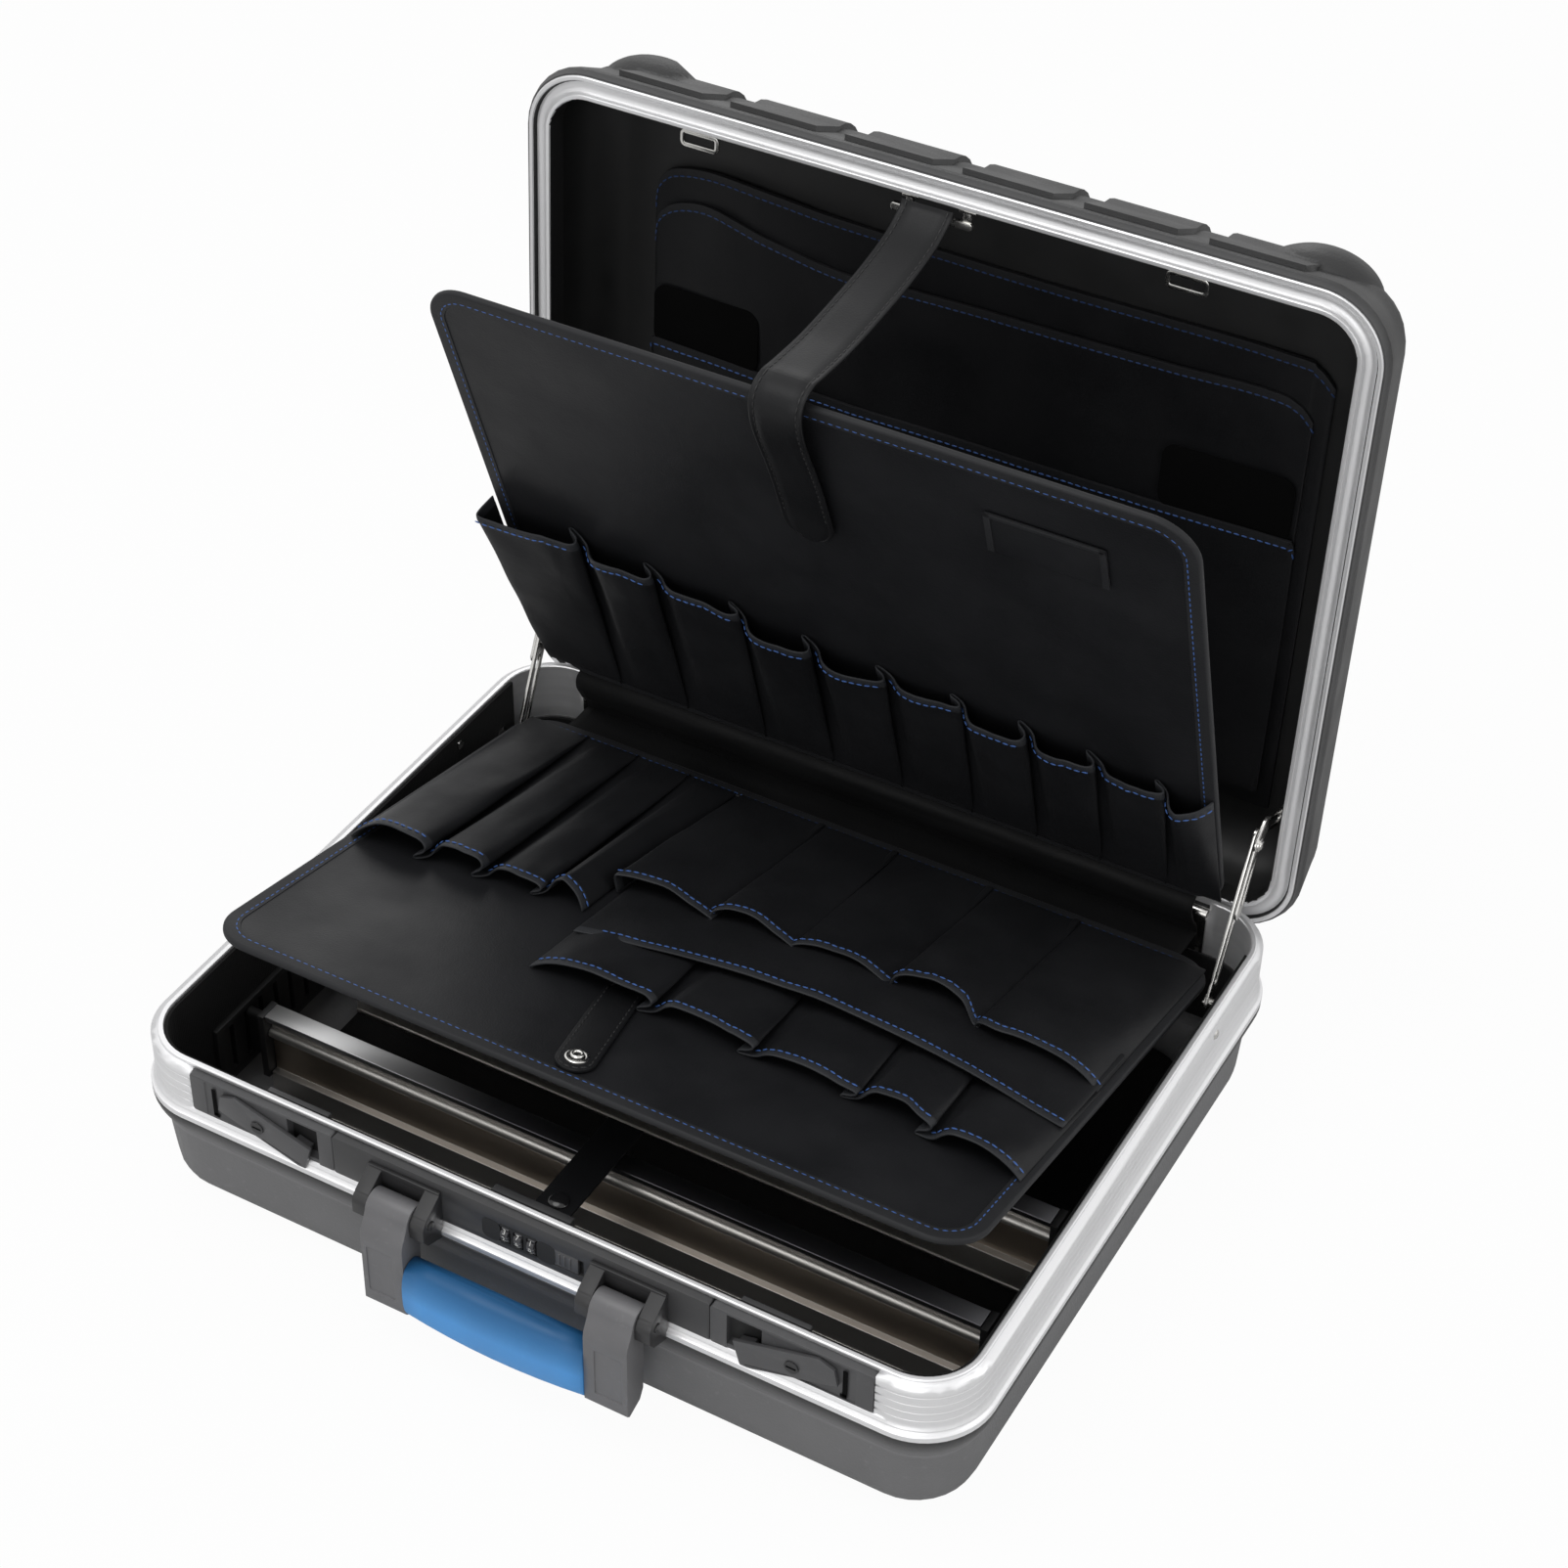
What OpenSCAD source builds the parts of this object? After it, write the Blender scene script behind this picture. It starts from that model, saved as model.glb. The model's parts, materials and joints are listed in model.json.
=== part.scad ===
// Hard tool case: ribbed plastic shells on an aluminium frame, with a folding handle, two lever
// latches, a three-dial lock, two tool boards, lid stays and two cross dividers.
// Origin: middle of the base's underside, on the floor. +X right, +Y to the hinge, +Z up.

/* [Case] */
// Inside width of the base frame
inner_w = 450; // [420:1:520]
// Inside depth of the base frame, front to back
inner_d = 359; // [345:1:420]
// Height of the base from the floor to its rim
base_h = 100; // [96:1:130]
// Depth of the lid from the rim to its outer face
lid_h = 62; // [58:1:80]
// Inner corner radius of the frame
corner_r = 28; // [24:1:36]
// Angle that the lid stands open
open_angle = 92.5; // [85:0.5:95]

/* [Shells] */
// Wall of the plastic shells
wall = 3.2; // [2.4:0.1:3.6]
// Radius of the base's bottom edge
bottom_edge_r = 20; // [14:1:24]
// Offset of the base's body wall from the frame's inner face
body_d = 3.2; // [2.8:0.1:4]
// Offset of the smooth flange below the frame
flange_d = 7; // [6.6:0.1:8]
// Height of that flange
flange_h = 12.5; // [9:0.5:15]
// Draft of the base's wall, low to high
draft = 1; // [0.4:0.1:1.6]
// Offset of the lid's ridge from the frame's inner face
ridge_d = 9.8; // [9:0.1:11]
// Height of the lid's ridge above the rim
ridge_h = 7; // [6:0.1:8]
// Lean of the lid's side and rear walls
side_lean = 9; // [5:0.5:12]
// Lean of the lid's front wall
front_lean = 23; // [16:0.5:25]
// Radius of the lid's outer edge
lid_edge_r = 25; // [18:1:28]
// Height of the raised pads on the lid
pad_h = 3; // [1.5:0.1:4]
// Number of raised pads across the lid
pads = 6; // [4:1:7]
// Valley between two pads
valley_w = 16; // [12:0.5:22]

/* [Frame] */
// Thickness of the base's aluminium band
band_t = 6.6; // [6:0.1:7.2]
// Height of the band
band_h = 35.3; // [34:0.1:37]
// Width of the tongue along its top
tongue_w = 3.1; // [2.6:0.1:3.4]
// Height of the tongue above the ledge
tongue_h = 2.5; // [2:0.1:3]
// Number of fine flutes round the band
flutes = 4; // [2:1:5]
// Distance from flute to flute
flute_pitch = 5.2; // [4:0.1:5.6]
// How far the lid's rim stands inside the base's inner face
rim_in = 5.6; // [5:0.1:6.2]
// Width of the lid's aluminium rim
rim_w = 12.8; // [12:0.1:13.4]
// Gap between the closed lid's rim and the base's rim
rim_gap = 1; // [0.9:0.1:1.4]
// Depth of the concave channel in the lid's rim
channel = 3; // [2:0.1:3.6]

/* [Hinge] */
// Height of the hinge axis below the base's rim
hinge_drop = 8.3; // [8.2:0.1:8.6]
// Radius of the hinge knuckles
knuckle_r = 3.2; // [2.8:0.1:3.3]
// Radius of the hinge pins
hinge_pin_r = 1.5; // [1.2:0.1:1.8]
// Width of one hinge
hinge_w = 50; // [40:1:54]
// Distance from an outer hinge to the frame's corner
hinge_inset = 5; // [4:0.5:12]
// Thickness of the hinge leaves
leaf_t = 1.7; // [1.4:0.1:1.8]

/* [Latches and lock] */
// Height of the black latch plates
plate_h = 24.2; // [22:0.1:24.4]
// Distance from a latch plate to the frame's corner
plate_inset = 7; // [4:0.5:9]
// Seam between a latch plate and the lock plate, from the middle
seam_x = 105; // [100:0.5:110]
// How far the plates stand proud of the band
plate_proud = 0.9; // [0.5:0.1:1.2]
// Distance of a latch lever's pivot from the middle
lever_x = 149; // [146:1:152]
// Length of a latch lever
lever_l = 60; // [52:1:62]
// Height of a latch lever
lever_w = 16; // [13:0.5:17]
// Angle of the levers when released
lever_angle = 15; // [8:0.5:16]
// Radius of the lock's dials
dial_r = 6; // [5.4:0.1:6.4]
// Distance from dial to dial
dial_pitch = 7.3; // [6.8:0.1:8]

/* [Handle] */
// Distance of the handle brackets from the middle
bracket_x = 62.5; // [58:0.5:68]
// Width of a handle bracket
bracket_w = 41; // [38:0.5:44]
// Thickness of a bracket's ears
ear_t = 8; // [6:0.5:8.5]
// Distance of the handle's axis from the band
axis_out = 10.9; // [10.6:0.1:12]
// Radius of the barrel on each handle arm
barrel_r = 7.9; // [7:0.1:8]
// Radius of the handle pins
handle_pin_r = 2.5; // [2:0.1:3]
// Height of the handle from its axis to its lower edge
handle_drop = 56.5; // [50:0.5:60]
// Height of the blue grip
grip_h = 35; // [28:0.5:38]
// Thickness of the blue grip
grip_t = 17; // [14:0.5:18]

/* [Boards] */
// Gap between the lower tool board and the side walls
lower_side = 16; // [15:0.5:25]
// How much shorter the lower tool board is than the inside
lower_short = 62; // [58:1:75]
// Gap between the upper tool board and the side walls
upper_side = 21; // [20:0.5:30]
// How much shorter the upper tool board is than the inside
upper_short = 41; // [38:1:55]
// Corner radius of the boards
board_r = 24; // [16:1:28]
// Thickness of the boards
board_t = 4; // [3:0.1:4.4]
// Depth of the pockets at their mouths
pocket_t = 9; // [6:0.5:10]
// Angle that the lower board is lifted
lower_angle = 12.3; // [8:0.1:14]
// Angle that the upper board is lifted
upper_angle = 70.5; // [60:0.5:74]

/* [Dividers] */
// Height of the cross dividers
divider_h = 58; // [48:1:59]
// Front divider's distance from the middle
divider_front_y = 103; // [90:1:110]
// Rear divider's distance from the middle
divider_rear_y = 28; // [10:1:40]
// Thickness of a divider's top rail
rail_t = 11; // [8:0.5:12]

/* [Stays] */
// Length of the stay's slotted link, pivot to rivet
stay_l = 88.6; // [87:0.1:90]
// Width of the stay's links
stay_w = 9; // [7:0.5:10]
// Thickness of the stay's links
stay_t = 1.5; // [1.2:0.1:1.7]
// Radius of the stay's pivots
stay_pin_r = 2.2; // [1.8:0.1:2.4]

/* [Fits] */
// Radial clearance of the turning pins
run_fit = 0.05; // [0.02:0.01:0.1]
// Gap between pieces that lie side by side
seat = 0.2; // [0.1:0.05:0.3]

/* [Hidden] */
$fn = 48;
eps = 0.01;
arc_steps = 8;
half_w = inner_w / 2;
half_d = inner_d / 2;
hinge_y = half_d;
hinge_z = base_h - hinge_drop;
band_z = base_h - band_h;
ledge_z = base_h - tongue_h;
plate_z = ledge_z - seat - plate_h;
front_y = -half_d - band_t;
plate_y = front_y - plate_proud;
plate_back = front_y + 5.2;
lining_t = 1.5;
lining_x = half_w - seat - lining_t;
crease_z = band_z - flange_h;
rim_out = rim_w - rim_in;
rim_z = base_h + rim_gap;
lid_face = base_h + lid_h;
axis_y = front_y - axis_out;
axis_z = base_h - 21.5;
arm_x = bracket_x - bracket_w / 2 + ear_t + 0.5;
arm_w = bracket_w - 2 * ear_t - 1;
lower_y = hinge_y - 24.5;
lower_z = base_h - 20;
upper_y = hinge_y - 11.5;
upper_z = base_h + 12;
lever_z = plate_z + 9;
hinge_pitch = half_w - corner_r - hinge_w / 2 - hinge_inset;
plate_end = half_w - corner_r - plate_inset;
pad_pitch = inner_w / (pads + 1);
lower_w = inner_w - 2 * lower_side;
lower_l = inner_d - lower_short;
upper_w = inner_w - 2 * upper_side;
upper_l = inner_d - upper_short;
divider_z = 63 - divider_h;

// ---------- Shared shapes ----------

// Rounded rectangle from its half sizes
module rounded(hx, hy, r) {
    square([2 * hx, 2 * (hy - r)], center = true);
    square([2 * (hx - r), 2 * hy], center = true);
    for (sx = [-1, 1], sy = [-1, 1])
        translate([sx * (hx - r), sy * (hy - r)]) circle(r);
}

// The case's outline, grown outwards by d
module outline(d) {
    rounded(half_w + d, half_d + d, corner_r + d);
}

// Sweeps a profile, drawn as (offset outwards, height), round the case
module around() {
    straight = [half_d - corner_r, half_w - corner_r];
    for (q = [0 : 3]) {
        reach = q % 2 == 0 ? half_w : half_d;
        side = straight[q % 2];
        rotate([0, 0, 90 * q]) translate([reach, 0, 0]) rotate([90, 0, 0])
            linear_extrude(2 * side, center = true) children();
        sx = (q == 0 || q == 3) ? 1 : -1;
        sy = q < 2 ? 1 : -1;
        translate([sx * (half_w - corner_r), sy * (half_d - corner_r), 0]) rotate([0, 0, 90 * q])
            rotate_extrude(angle = 90) translate([corner_r, 0]) children();
    }
}

// Ring of points round a rounded rectangle at one height
function ring(hx, y0, y1, r, z) = [for (q = [0 : 3], i = [0 : arc_steps])
    let (a = 90 * (q + i / arc_steps),
        cx = (q == 0 || q == 3) ? hx - r : r - hx,
        cy = q < 2 ? y1 - r : y0 + r)
    [cx + r * cos(a), cy + r * sin(a), z]];

// Solid skinned over rings that all have the same number of points
module loft(rings) {
    n = len(rings[0]);
    last = len(rings) - 1;
    sides = [for (j = [0 : last - 1], i = [0 : n - 1])
        [j * n + i, (j + 1) * n + i, (j + 1) * n + (i + 1) % n, j * n + (i + 1) % n]];
    caps = [[for (i = [0 : n - 1]) i], [for (i = [n - 1 : -1 : 0]) last * n + i]];
    polyhedron([for (r = rings) each r], concat(sides, caps));
}

// Flat bar with round ends between two points of a profile
module bar(p, q, w) {
    d = q - p;
    translate(p) rotate(atan2(d.y, d.x)) {
        translate([0, -w / 2]) square([norm(d), w]);
        circle(w / 2);
        translate([norm(d), 0]) circle(w / 2);
    }
}

// Extrudes a profile, drawn as (y, z), along X from x0 over a length
module along_x(x0, length) {
    translate([x0, 0, 0]) rotate([90, 0, 90]) linear_extrude(length) children();
}

// Extrudes a profile, drawn as (x, z), towards the back from y0 over a depth
module along_y(y0, depth) {
    translate([0, y0 + depth, 0]) rotate([90, 0, 0]) linear_extrude(depth) children();
}

module box(lo, hi) {
    translate(lo) cube(hi - lo);
}

module both_sides() {
    children();
    mirror([1, 0, 0]) children();
}

// Turns about an X axis through (y, z), by the angle that lifts the front
module lifted(y, z, angle) {
    translate([0, y, z]) rotate([-angle, 0, 0]) translate([0, -y, -z]) children();
}

module lid_open() {
    lifted(hinge_y, hinge_z, open_angle) children();
}

module lower_open() {
    lifted(lower_y, lower_z, lower_angle) children();
}

module upper_open() {
    lifted(upper_y, upper_z - board_t / 2, upper_angle) children();
}

// ---------- Base ----------

// Ring of the base's shell; fuller is what the outside corners are rounder by
function base_ring(d, z, fuller) = ring(half_w + d, -half_d - d, half_d + d, corner_r + d + fuller, z);

module base_shell() {
    low_d = body_d - draft;
    inner_r = bottom_edge_r - wall;
    color("#2b2c2e") difference() {
        loft([
            for (t = [0 : 15 : 90])
                base_ring(low_d - bottom_edge_r * (1 - sin(t)), bottom_edge_r * (1 - cos(t)), 3),
            base_ring(body_d, crease_z - 2.5, 3),
            base_ring(flange_d - 0.8, crease_z - 0.8, 1),
            base_ring(flange_d, crease_z + 0.6, 1),
            base_ring(flange_d, band_z, 1)]);
        loft([
            for (t = [0 : 15 : 90])
                base_ring(-inner_r * (1 - sin(t)), wall + inner_r * (1 - cos(t)), 0),
            base_ring(0, band_z + 1, 0)]);
    }
}

// Section of the base's band: tongue, ledge, fluted wall and foot bead
module band_section() {
    flute_top = ledge_z - 5.4;
    foot = band_z + 4.4;
    difference() {
        union() {
            translate([0, band_z]) square([band_t, ledge_z - band_z]);
            translate([0, band_z]) square([tongue_w, band_h - 0.8]);
            translate([0.8, base_h - 1]) square([tongue_w - 1.6, 1]);
            for (x = [0.8, tongue_w - 0.8]) translate([x, base_h - 0.8]) circle(0.8);
        }
        for (i = [0 : flutes - 1])
            translate([band_t + 0.25, flute_top - i * flute_pitch]) circle(0.7, $fn = 24);
        translate([band_t + 0.5, foot]) circle(1.5, $fn = 24);
    }
}

module base_frame() {
    cut = hinge_w / 2 + 0.6;
    color("#c9ccd0") difference() {
        around() band_section();
        for (i = [-1 : 1])
            box([i * hinge_pitch - cut, hinge_y - 2, hinge_z - knuckle_r - 0.6],
                [i * hinge_pitch + cut, hinge_y + band_t + 2, base_h + 1]);
        box([-plate_end - seat, front_y - 1, plate_z - seat],
            [plate_end + seat, plate_back + seat, ledge_z + eps]);
        lock_opening();
        rivet_holes();
    }
}

// Passage behind the dials
module lock_opening() {
    box([-lock_half - 1, plate_back - 1, plate_z + 1.5], [lock_half + 3, cover_y, plate_z + 17]);
}

// Lining of the side and front walls; the rear wall is bare down to the band's foot
module wall_liner() {
    rear_y = half_d - corner_r + 2;
    color("#191a1b") difference() {
        translate([0, 0, bottom_edge_r + 1]) linear_extrude(base_h - 1.6 - bottom_edge_r - 1)
            difference() {
                outline(-seat);
                outline(-seat - lining_t);
            }
        box([-half_w, rear_y, band_z - 1], [half_w, half_d + 1, base_h + 1]);
        for (s = [-1, 1]) translate([s * stay_base_x, stay_base.x, stay_base.y])
            rotate([0, 90, 0]) cylinder(r = 4.2, h = 40, center = true);
        rivet_holes();
        lock_opening();
    }
}

module floor_liner() {
    color("#151617") translate([0, 0, wall + 0.05]) linear_extrude(lining_t)
        rounded(half_w - bottom_edge_r, half_d - bottom_edge_r, corner_r);
}

rivet_y = 99.4;
rivet_z = base_h - 9.1;

module rivet_holes() {
    translate([0, rivet_y, rivet_z]) rotate([0, 90, 0]) cylinder(r = 1.6, h = inner_w + 40, center = true);
}

module frame_rivets() {
    head_x = half_w + band_t;
    color("#b4b7ba") both_sides() translate([lining_x - 0.4, rivet_y, rivet_z]) rotate([0, 90, 0]) {
        cylinder(r = 1.6, h = head_x - lining_x + 0.4);
        translate([0, 0, head_x - lining_x + 0.4]) cylinder(r1 = 2.8, r2 = 1.7, h = 0.9, $fn = 32);
        translate([0, 0, -0.6]) cylinder(r = 2.6, h = 0.6 + 0.4);
    }
}

// Slotted strips on the side walls that take the dividers' ends
slot_pitch = 12.5;
strip_z = 12;
strip_h = 50;
strip_t = 3;
strip_l = 250;

module slot_strips() {
    x = lining_x - seat - strip_t;
    color("#1d1e20") both_sides() difference() {
        box([x, -strip_l / 2 - 5, bottom_edge_r + 2], [x + strip_t, strip_l / 2 - 5, strip_z + strip_h]);
        for (i = [0 : 18])
            box([x - 1, -strip_l / 2 + 5 + i * slot_pitch, bottom_edge_r + 8],
                [x + strip_t + 1, -strip_l / 2 + 8.5 + i * slot_pitch, strip_z + strip_h - 4]);
    }
}

// ---------- Hinge ----------

lid_leaf_x = 10;

// Knuckle and pin bore at the hinge axis
module knuckle(x0, length) {
    translate([x0, hinge_y, hinge_z]) rotate([0, 90, 0]) cylinder(r = knuckle_r, h = length);
}

module hinge_bore(x0, length) {
    translate([x0, hinge_y, hinge_z]) rotate([0, 90, 0])
        cylinder(r = hinge_pin_r + run_fit, h = length);
}

module hinge_base_leaves() {
    side = hinge_w / 2 - lid_leaf_x - seat;
    top = hinge_z - knuckle_r - 0.4;
    color("#b9bcc0") for (i = [-1 : 1]) translate([i * hinge_pitch, 0, 0]) difference() {
        union() {
            box([-hinge_w / 2, hinge_y - leaf_t - 0.05, band_z + 1], [hinge_w / 2, hinge_y - 0.05, top]);
            for (s = [-hinge_w / 2, hinge_w / 2 - side]) {
                box([s, hinge_y - leaf_t - 0.05, top - 1], [s + side, hinge_y - 0.05, hinge_z]);
                knuckle(s, side);
            }
        }
        hinge_bore(-hinge_w, 2 * hinge_w);
    }
}

module hinge_lid_leaves() {
    leaf_y = hinge_y - rim_in;
    web_x = lid_leaf_x - seat;
    color("#b9bcc0") lid_open() for (i = [-1 : 1]) translate([i * hinge_pitch, 0, 0]) difference() {
        union() {
            knuckle(-web_x, 2 * web_x);
            along_x(-web_x, 2 * web_x) polygon([
                [hinge_y - knuckle_r, hinge_z], [leaf_y - leaf_t - 0.05, rim_z - 4],
                [leaf_y - leaf_t - 0.05, rim_z], [leaf_y - 0.05, rim_z],
                [leaf_y - 0.05, rim_z - 2.5], [hinge_y - 1, hinge_z + knuckle_r - 0.2]]);
            box([-hinge_w / 2, leaf_y - leaf_t - 0.05, rim_z - 1],
                [hinge_w / 2, leaf_y - 0.05, rim_z + 12]);
        }
        hinge_bore(-hinge_w, 2 * hinge_w);
    }
}

module hinge_pins() {
    color("#8f9296") for (i = [-1 : 1])
        translate([i * hinge_pitch - hinge_w / 2, hinge_y, hinge_z]) rotate([0, 90, 0])
            cylinder(r = hinge_pin_r, h = hinge_w);
}

// Leatherette strip that hides the hinges; the boards are sewn to it
strip_half = 190;

module spine_strip() {
    y = hinge_y - leaf_t - seat;
    t = 1.5;
    color("#161718") along_x(-strip_half, 2 * strip_half) {
        polygon([
            [y, band_z + 2], [y, hinge_z - 6], [hinge_y - 9.9, hinge_z + 5],
            [upper_y + 0.2, upper_z - board_t / 2 - 0.35], [upper_y + 0.2 - t, upper_z - board_t / 2 - 0.35],
            [hinge_y - 10.4 - t, hinge_z + 4.6], [y - t, hinge_z - 6.6], [y - t, band_z + 2]]);
        translate([lower_y + 0.4, lower_z - t / 2]) square([y - t / 2 - lower_y - 0.4, t]);
    }
}

// ---------- Latches ----------

lever_proud = 2.2;

// Outline of a latch lever about its pivot; its inner end points to +X
module lever_outline(grow) {
    l = lever_l / 2 + grow;
    w = lever_w / 2 + grow;
    polygon([[-l, -w], [l, -w], [l, w], [-l + 10, w], [-l, w - 6]]);
}

module latch_plate() {
    recess = front_y - 0.25;
    depth = plate_back - plate_y;
    color("#222325") difference() {
        along_y(plate_y, depth) translate([(-plate_end - seam_x) / 2, plate_z + plate_h / 2])
            rounded((plate_end - seam_x) / 2 - seat, plate_h / 2, 1.6);
        box([-lever_x, plate_y - 1, plate_z - 1], [-lever_x + 35, recess, plate_z + plate_h - 1.6]);
        box([-lever_x - lever_l / 2 - 2, plate_y - 1, plate_z + 0.8],
            [-lever_x + eps, recess, plate_z + plate_h - 1.6]);
        box([-lever_x + 17, plate_y - 1, plate_z + 2.6], [-lever_x + 35, plate_back - 1, plate_z + plate_h - 1.6]);
        translate([-lever_x, 0, lever_z]) rotate([90, 0, 0]) cylinder(r = 2.2, h = 2 * half_w, center = true);
    }
}

module latch_plate_left() {
    latch_plate();
}

module latch_plate_right() {
    mirror([1, 0, 0]) latch_plate();
}

// Lever at its released angle, with the claw that swings in the plate's opening
module latch_lever() {
    back = front_y - 0.45;
    face = plate_y - 1.6;
    color("#2a2b2d") translate([-lever_x, 0, lever_z]) rotate([0, lever_angle, 0]) difference() {
        union() {
            along_y(face, back - face) lever_outline(0);
            box([20, back - eps, 2], [lever_l / 2 - 1.5, plate_back - 1.6, lever_w / 2 - 1.5]);
        }
        rotate([90, 0, 0]) cylinder(r = 2.2 + run_fit, h = 2 * half_w, center = true);
        along_y(face - 1, 1.5) translate([4, -lever_w / 2 + 1.4]) square([lever_l / 2 - 7, 0.8]);
    }
}

module latch_lever_left() {
    latch_lever();
}

module latch_lever_right() {
    mirror([1, 0, 0]) latch_lever();
}

module latch_pivots() {
    face = plate_y - 1.6;
    color("#33353a") both_sides() translate([-lever_x, face, lever_z]) rotate([-90, 0, 0]) {
        cylinder(r = 2.2, h = plate_back - face - 0.2);
        translate([0, 0, -0.8]) cylinder(r = 3.6, h = 0.75);
    }
}

// Covers of the latch works, inside the front band
module latch_covers() {
    t = 4.6;
    color("#1f2021") both_sides() difference() {
        box([lever_x - 34, cover_y, plate_z + 2], [lever_x + 2, cover_y + t, base_h - 4]);
        for (x = [lever_x - 30 : 8 : lever_x - 6])
            box([x, cover_y + t - 0.7, plate_z + 5], [x + 4, cover_y + t + 1, base_h - 7]);
    }
}

// ---------- Lock ----------

lock_half = 16;
lock_cover_t = 6;
cover_y = -half_d + lining_t + 2 * seat;
lock_z = plate_z + 9.4;
dial_y = plate_y + dial_r - 1.5;
dial_w = 5;

function dial_x(i) = (i - 2) * dial_pitch + 1;

module lock_plate() {
    depth = plate_back - plate_y;
    color("#222325") difference() {
        along_y(plate_y, depth) translate([0, plate_z + plate_h / 2])
            rounded(seam_x - seat, plate_h / 2, 1.2);
        along_y(plate_y - 1, 1.9) {
            translate([-13.5, lock_z]) circle(5.7);
            translate([-13.5, lock_z - 5.7]) square([30.5, 11.4]);
        }
        for (i = [1 : 3])
            box([dial_x(i) - dial_w / 2 - 0.3, plate_y - 1, lock_z - 5.1],
                [dial_x(i) + dial_w / 2 + 0.3, plate_back + 1, lock_z + 5.1]);
        translate([dial_x(1) - 6, dial_y, lock_z]) rotate([0, 90, 0])
            cylinder(r = 1.2, h = 2 * dial_pitch + 12);
        for (i = [1 : 3]) translate([dial_x(i) - dial_w / 2 - 0.3, dial_y, lock_z]) rotate([0, 90, 0])
            cylinder(r = dial_r + 0.6, h = dial_w + 0.6);
        box([18.2, plate_y - 1, lock_z - 5.4], [37.2, plate_y + 2.6, lock_z + 5.4]);
    }
}

// Number drum with a knurled thumb ring
module dial(i) {
    color("#3a3c40") translate([dial_x(i) - dial_w / 2, dial_y, lock_z]) rotate([0, 90, 0]) difference() {
        union() {
            cylinder(r = dial_r, h = dial_w);
            cylinder(r = dial_r + 0.35, h = 1.5);
        }
        translate([0, 0, -1]) cylinder(r = 1.2 + run_fit, h = dial_w + 2);
        for (k = [0 : 9]) rotate([0, 0, 36 * k + 18]) translate([dial_r + 0.5, 0, -1])
            cylinder(r = 0.7, h = 2.6, $fn = 24);
    }
}

module dial_1() {
    dial(1);
}

module dial_2() {
    dial(2);
}

module dial_3() {
    dial(3);
}

module dial_axle() {
    color("#9a9da1") translate([dial_x(1) - 6, dial_y, lock_z]) rotate([0, 90, 0])
        cylinder(r = 1.2, h = 2 * dial_pitch + 12);
}

module lock_slider() {
    color("#2d2f31") {
        box([18.5, plate_y + 0.1, lock_z - 5.1], [34, plate_y + 2.4, lock_z + 5.1]);
        for (k = [0 : 2])
            box([23 + 3 * k, plate_y - 0.5, lock_z - 3.6], [24.2 + 3 * k, plate_y + 0.2, lock_z + 3.6]);
    }
}

// Cover of the dials' back, inside the front band
module lock_cover() {
    x1 = lock_half + 5;
    color("#1f2021") difference() {
        box([-x1, cover_y, plate_z - 0.5], [x1 + 2, cover_y + lock_cover_t, base_h - 4]);
        box([-x1 + 1.6, cover_y - 1, plate_z + 1.2], [x1 + 0.4, cover_y + lock_cover_t - 1.6, base_h - 6]);
    }
}

// ---------- Handle ----------

module handle_bracket() {
    back = plate_y - 0.1;
    top = base_h - 7.2;
    low = base_h - 40;
    x0 = bracket_x - bracket_w / 2;
    color("#1e1f21") difference() {
        union() {
            along_y(back - 1.5, 1.5) translate([bracket_x, (top + low) / 2])
                rounded(bracket_w / 2, (top - low) / 2, 2);
            for (x = [x0, x0 + bracket_w - ear_t]) along_x(x, ear_t) {
                polygon([[back - eps, top], [back - eps, low + 2], [axis_y - 3, low + 7.5],
                    [axis_y - 6.5, axis_z - 6], [axis_y - 6.5, axis_z], [axis_y - 3, axis_z + 6.2]]);
                translate([axis_y, axis_z]) circle(6.5);
            }
            box([x0, axis_y + barrel_r, top - 3.4], [x0 + bracket_w, back, top]);
        }
        translate([x0 - 1, axis_y, axis_z]) rotate([0, 90, 0]) cylinder(r = handle_pin_r, h = bracket_w + 2);
    }
}

module handle_bracket_left() {
    mirror([1, 0, 0]) handle_bracket();
}

module handle_bracket_right() {
    handle_bracket();
}

module handle_pins() {
    color("#a9acb0") both_sides() translate([bracket_x - bracket_w / 2 - 0.4, axis_y, axis_z])
        rotate([0, 90, 0]) cylinder(r = handle_pin_r, h = bracket_w + 0.8);
}

grip_x = arm_x - 0.4;
grip_y = axis_y - 7.5;
grip_z = axis_z - handle_drop + grip_h / 2;

// Arm seen from the side: barrel, bulged front and slanted foot
module arm_profile() {
    low = axis_z - handle_drop;
    translate([axis_y, axis_z]) circle(barrel_r);
    polygon([[axis_y - barrel_r + 0.1, axis_z + 1], [axis_y + barrel_r - 0.3, axis_z - 1.5],
        [axis_y + 6.4, axis_z - 8], [axis_y + 2, axis_z - 14], [axis_y + 1, low + 9],
        [axis_y - 2, low + 3.4], [axis_y - 11.5, low], [axis_y - 13.2, low + 1.6],
        [axis_y - 13.2, axis_z - 12], [axis_y - 12.4, axis_z - 8], [axis_y - 9.6, axis_z - 3]]);
}

module handle_frame() {
    core = [5, grip_h / 2 - 6];
    color("#26272a") {
        both_sides() difference() {
            along_x(arm_x, arm_w) arm_profile();
            translate([arm_x - 1, axis_y, axis_z]) rotate([0, 90, 0])
                cylinder(r = handle_pin_r + run_fit, h = arm_w + 2);
            along_y(axis_y - 14, 1.5) translate([arm_x + arm_w / 2 + 1.5, axis_z - 33])
                rounded(arm_w / 2 - 4.5, 15.5, 1.5);
        }
        box([-arm_x - 1, grip_y - core.x / 2, grip_z - core.y], [arm_x + 1, grip_y + core.x / 2, grip_z + core.y]);
    }
}

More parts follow.
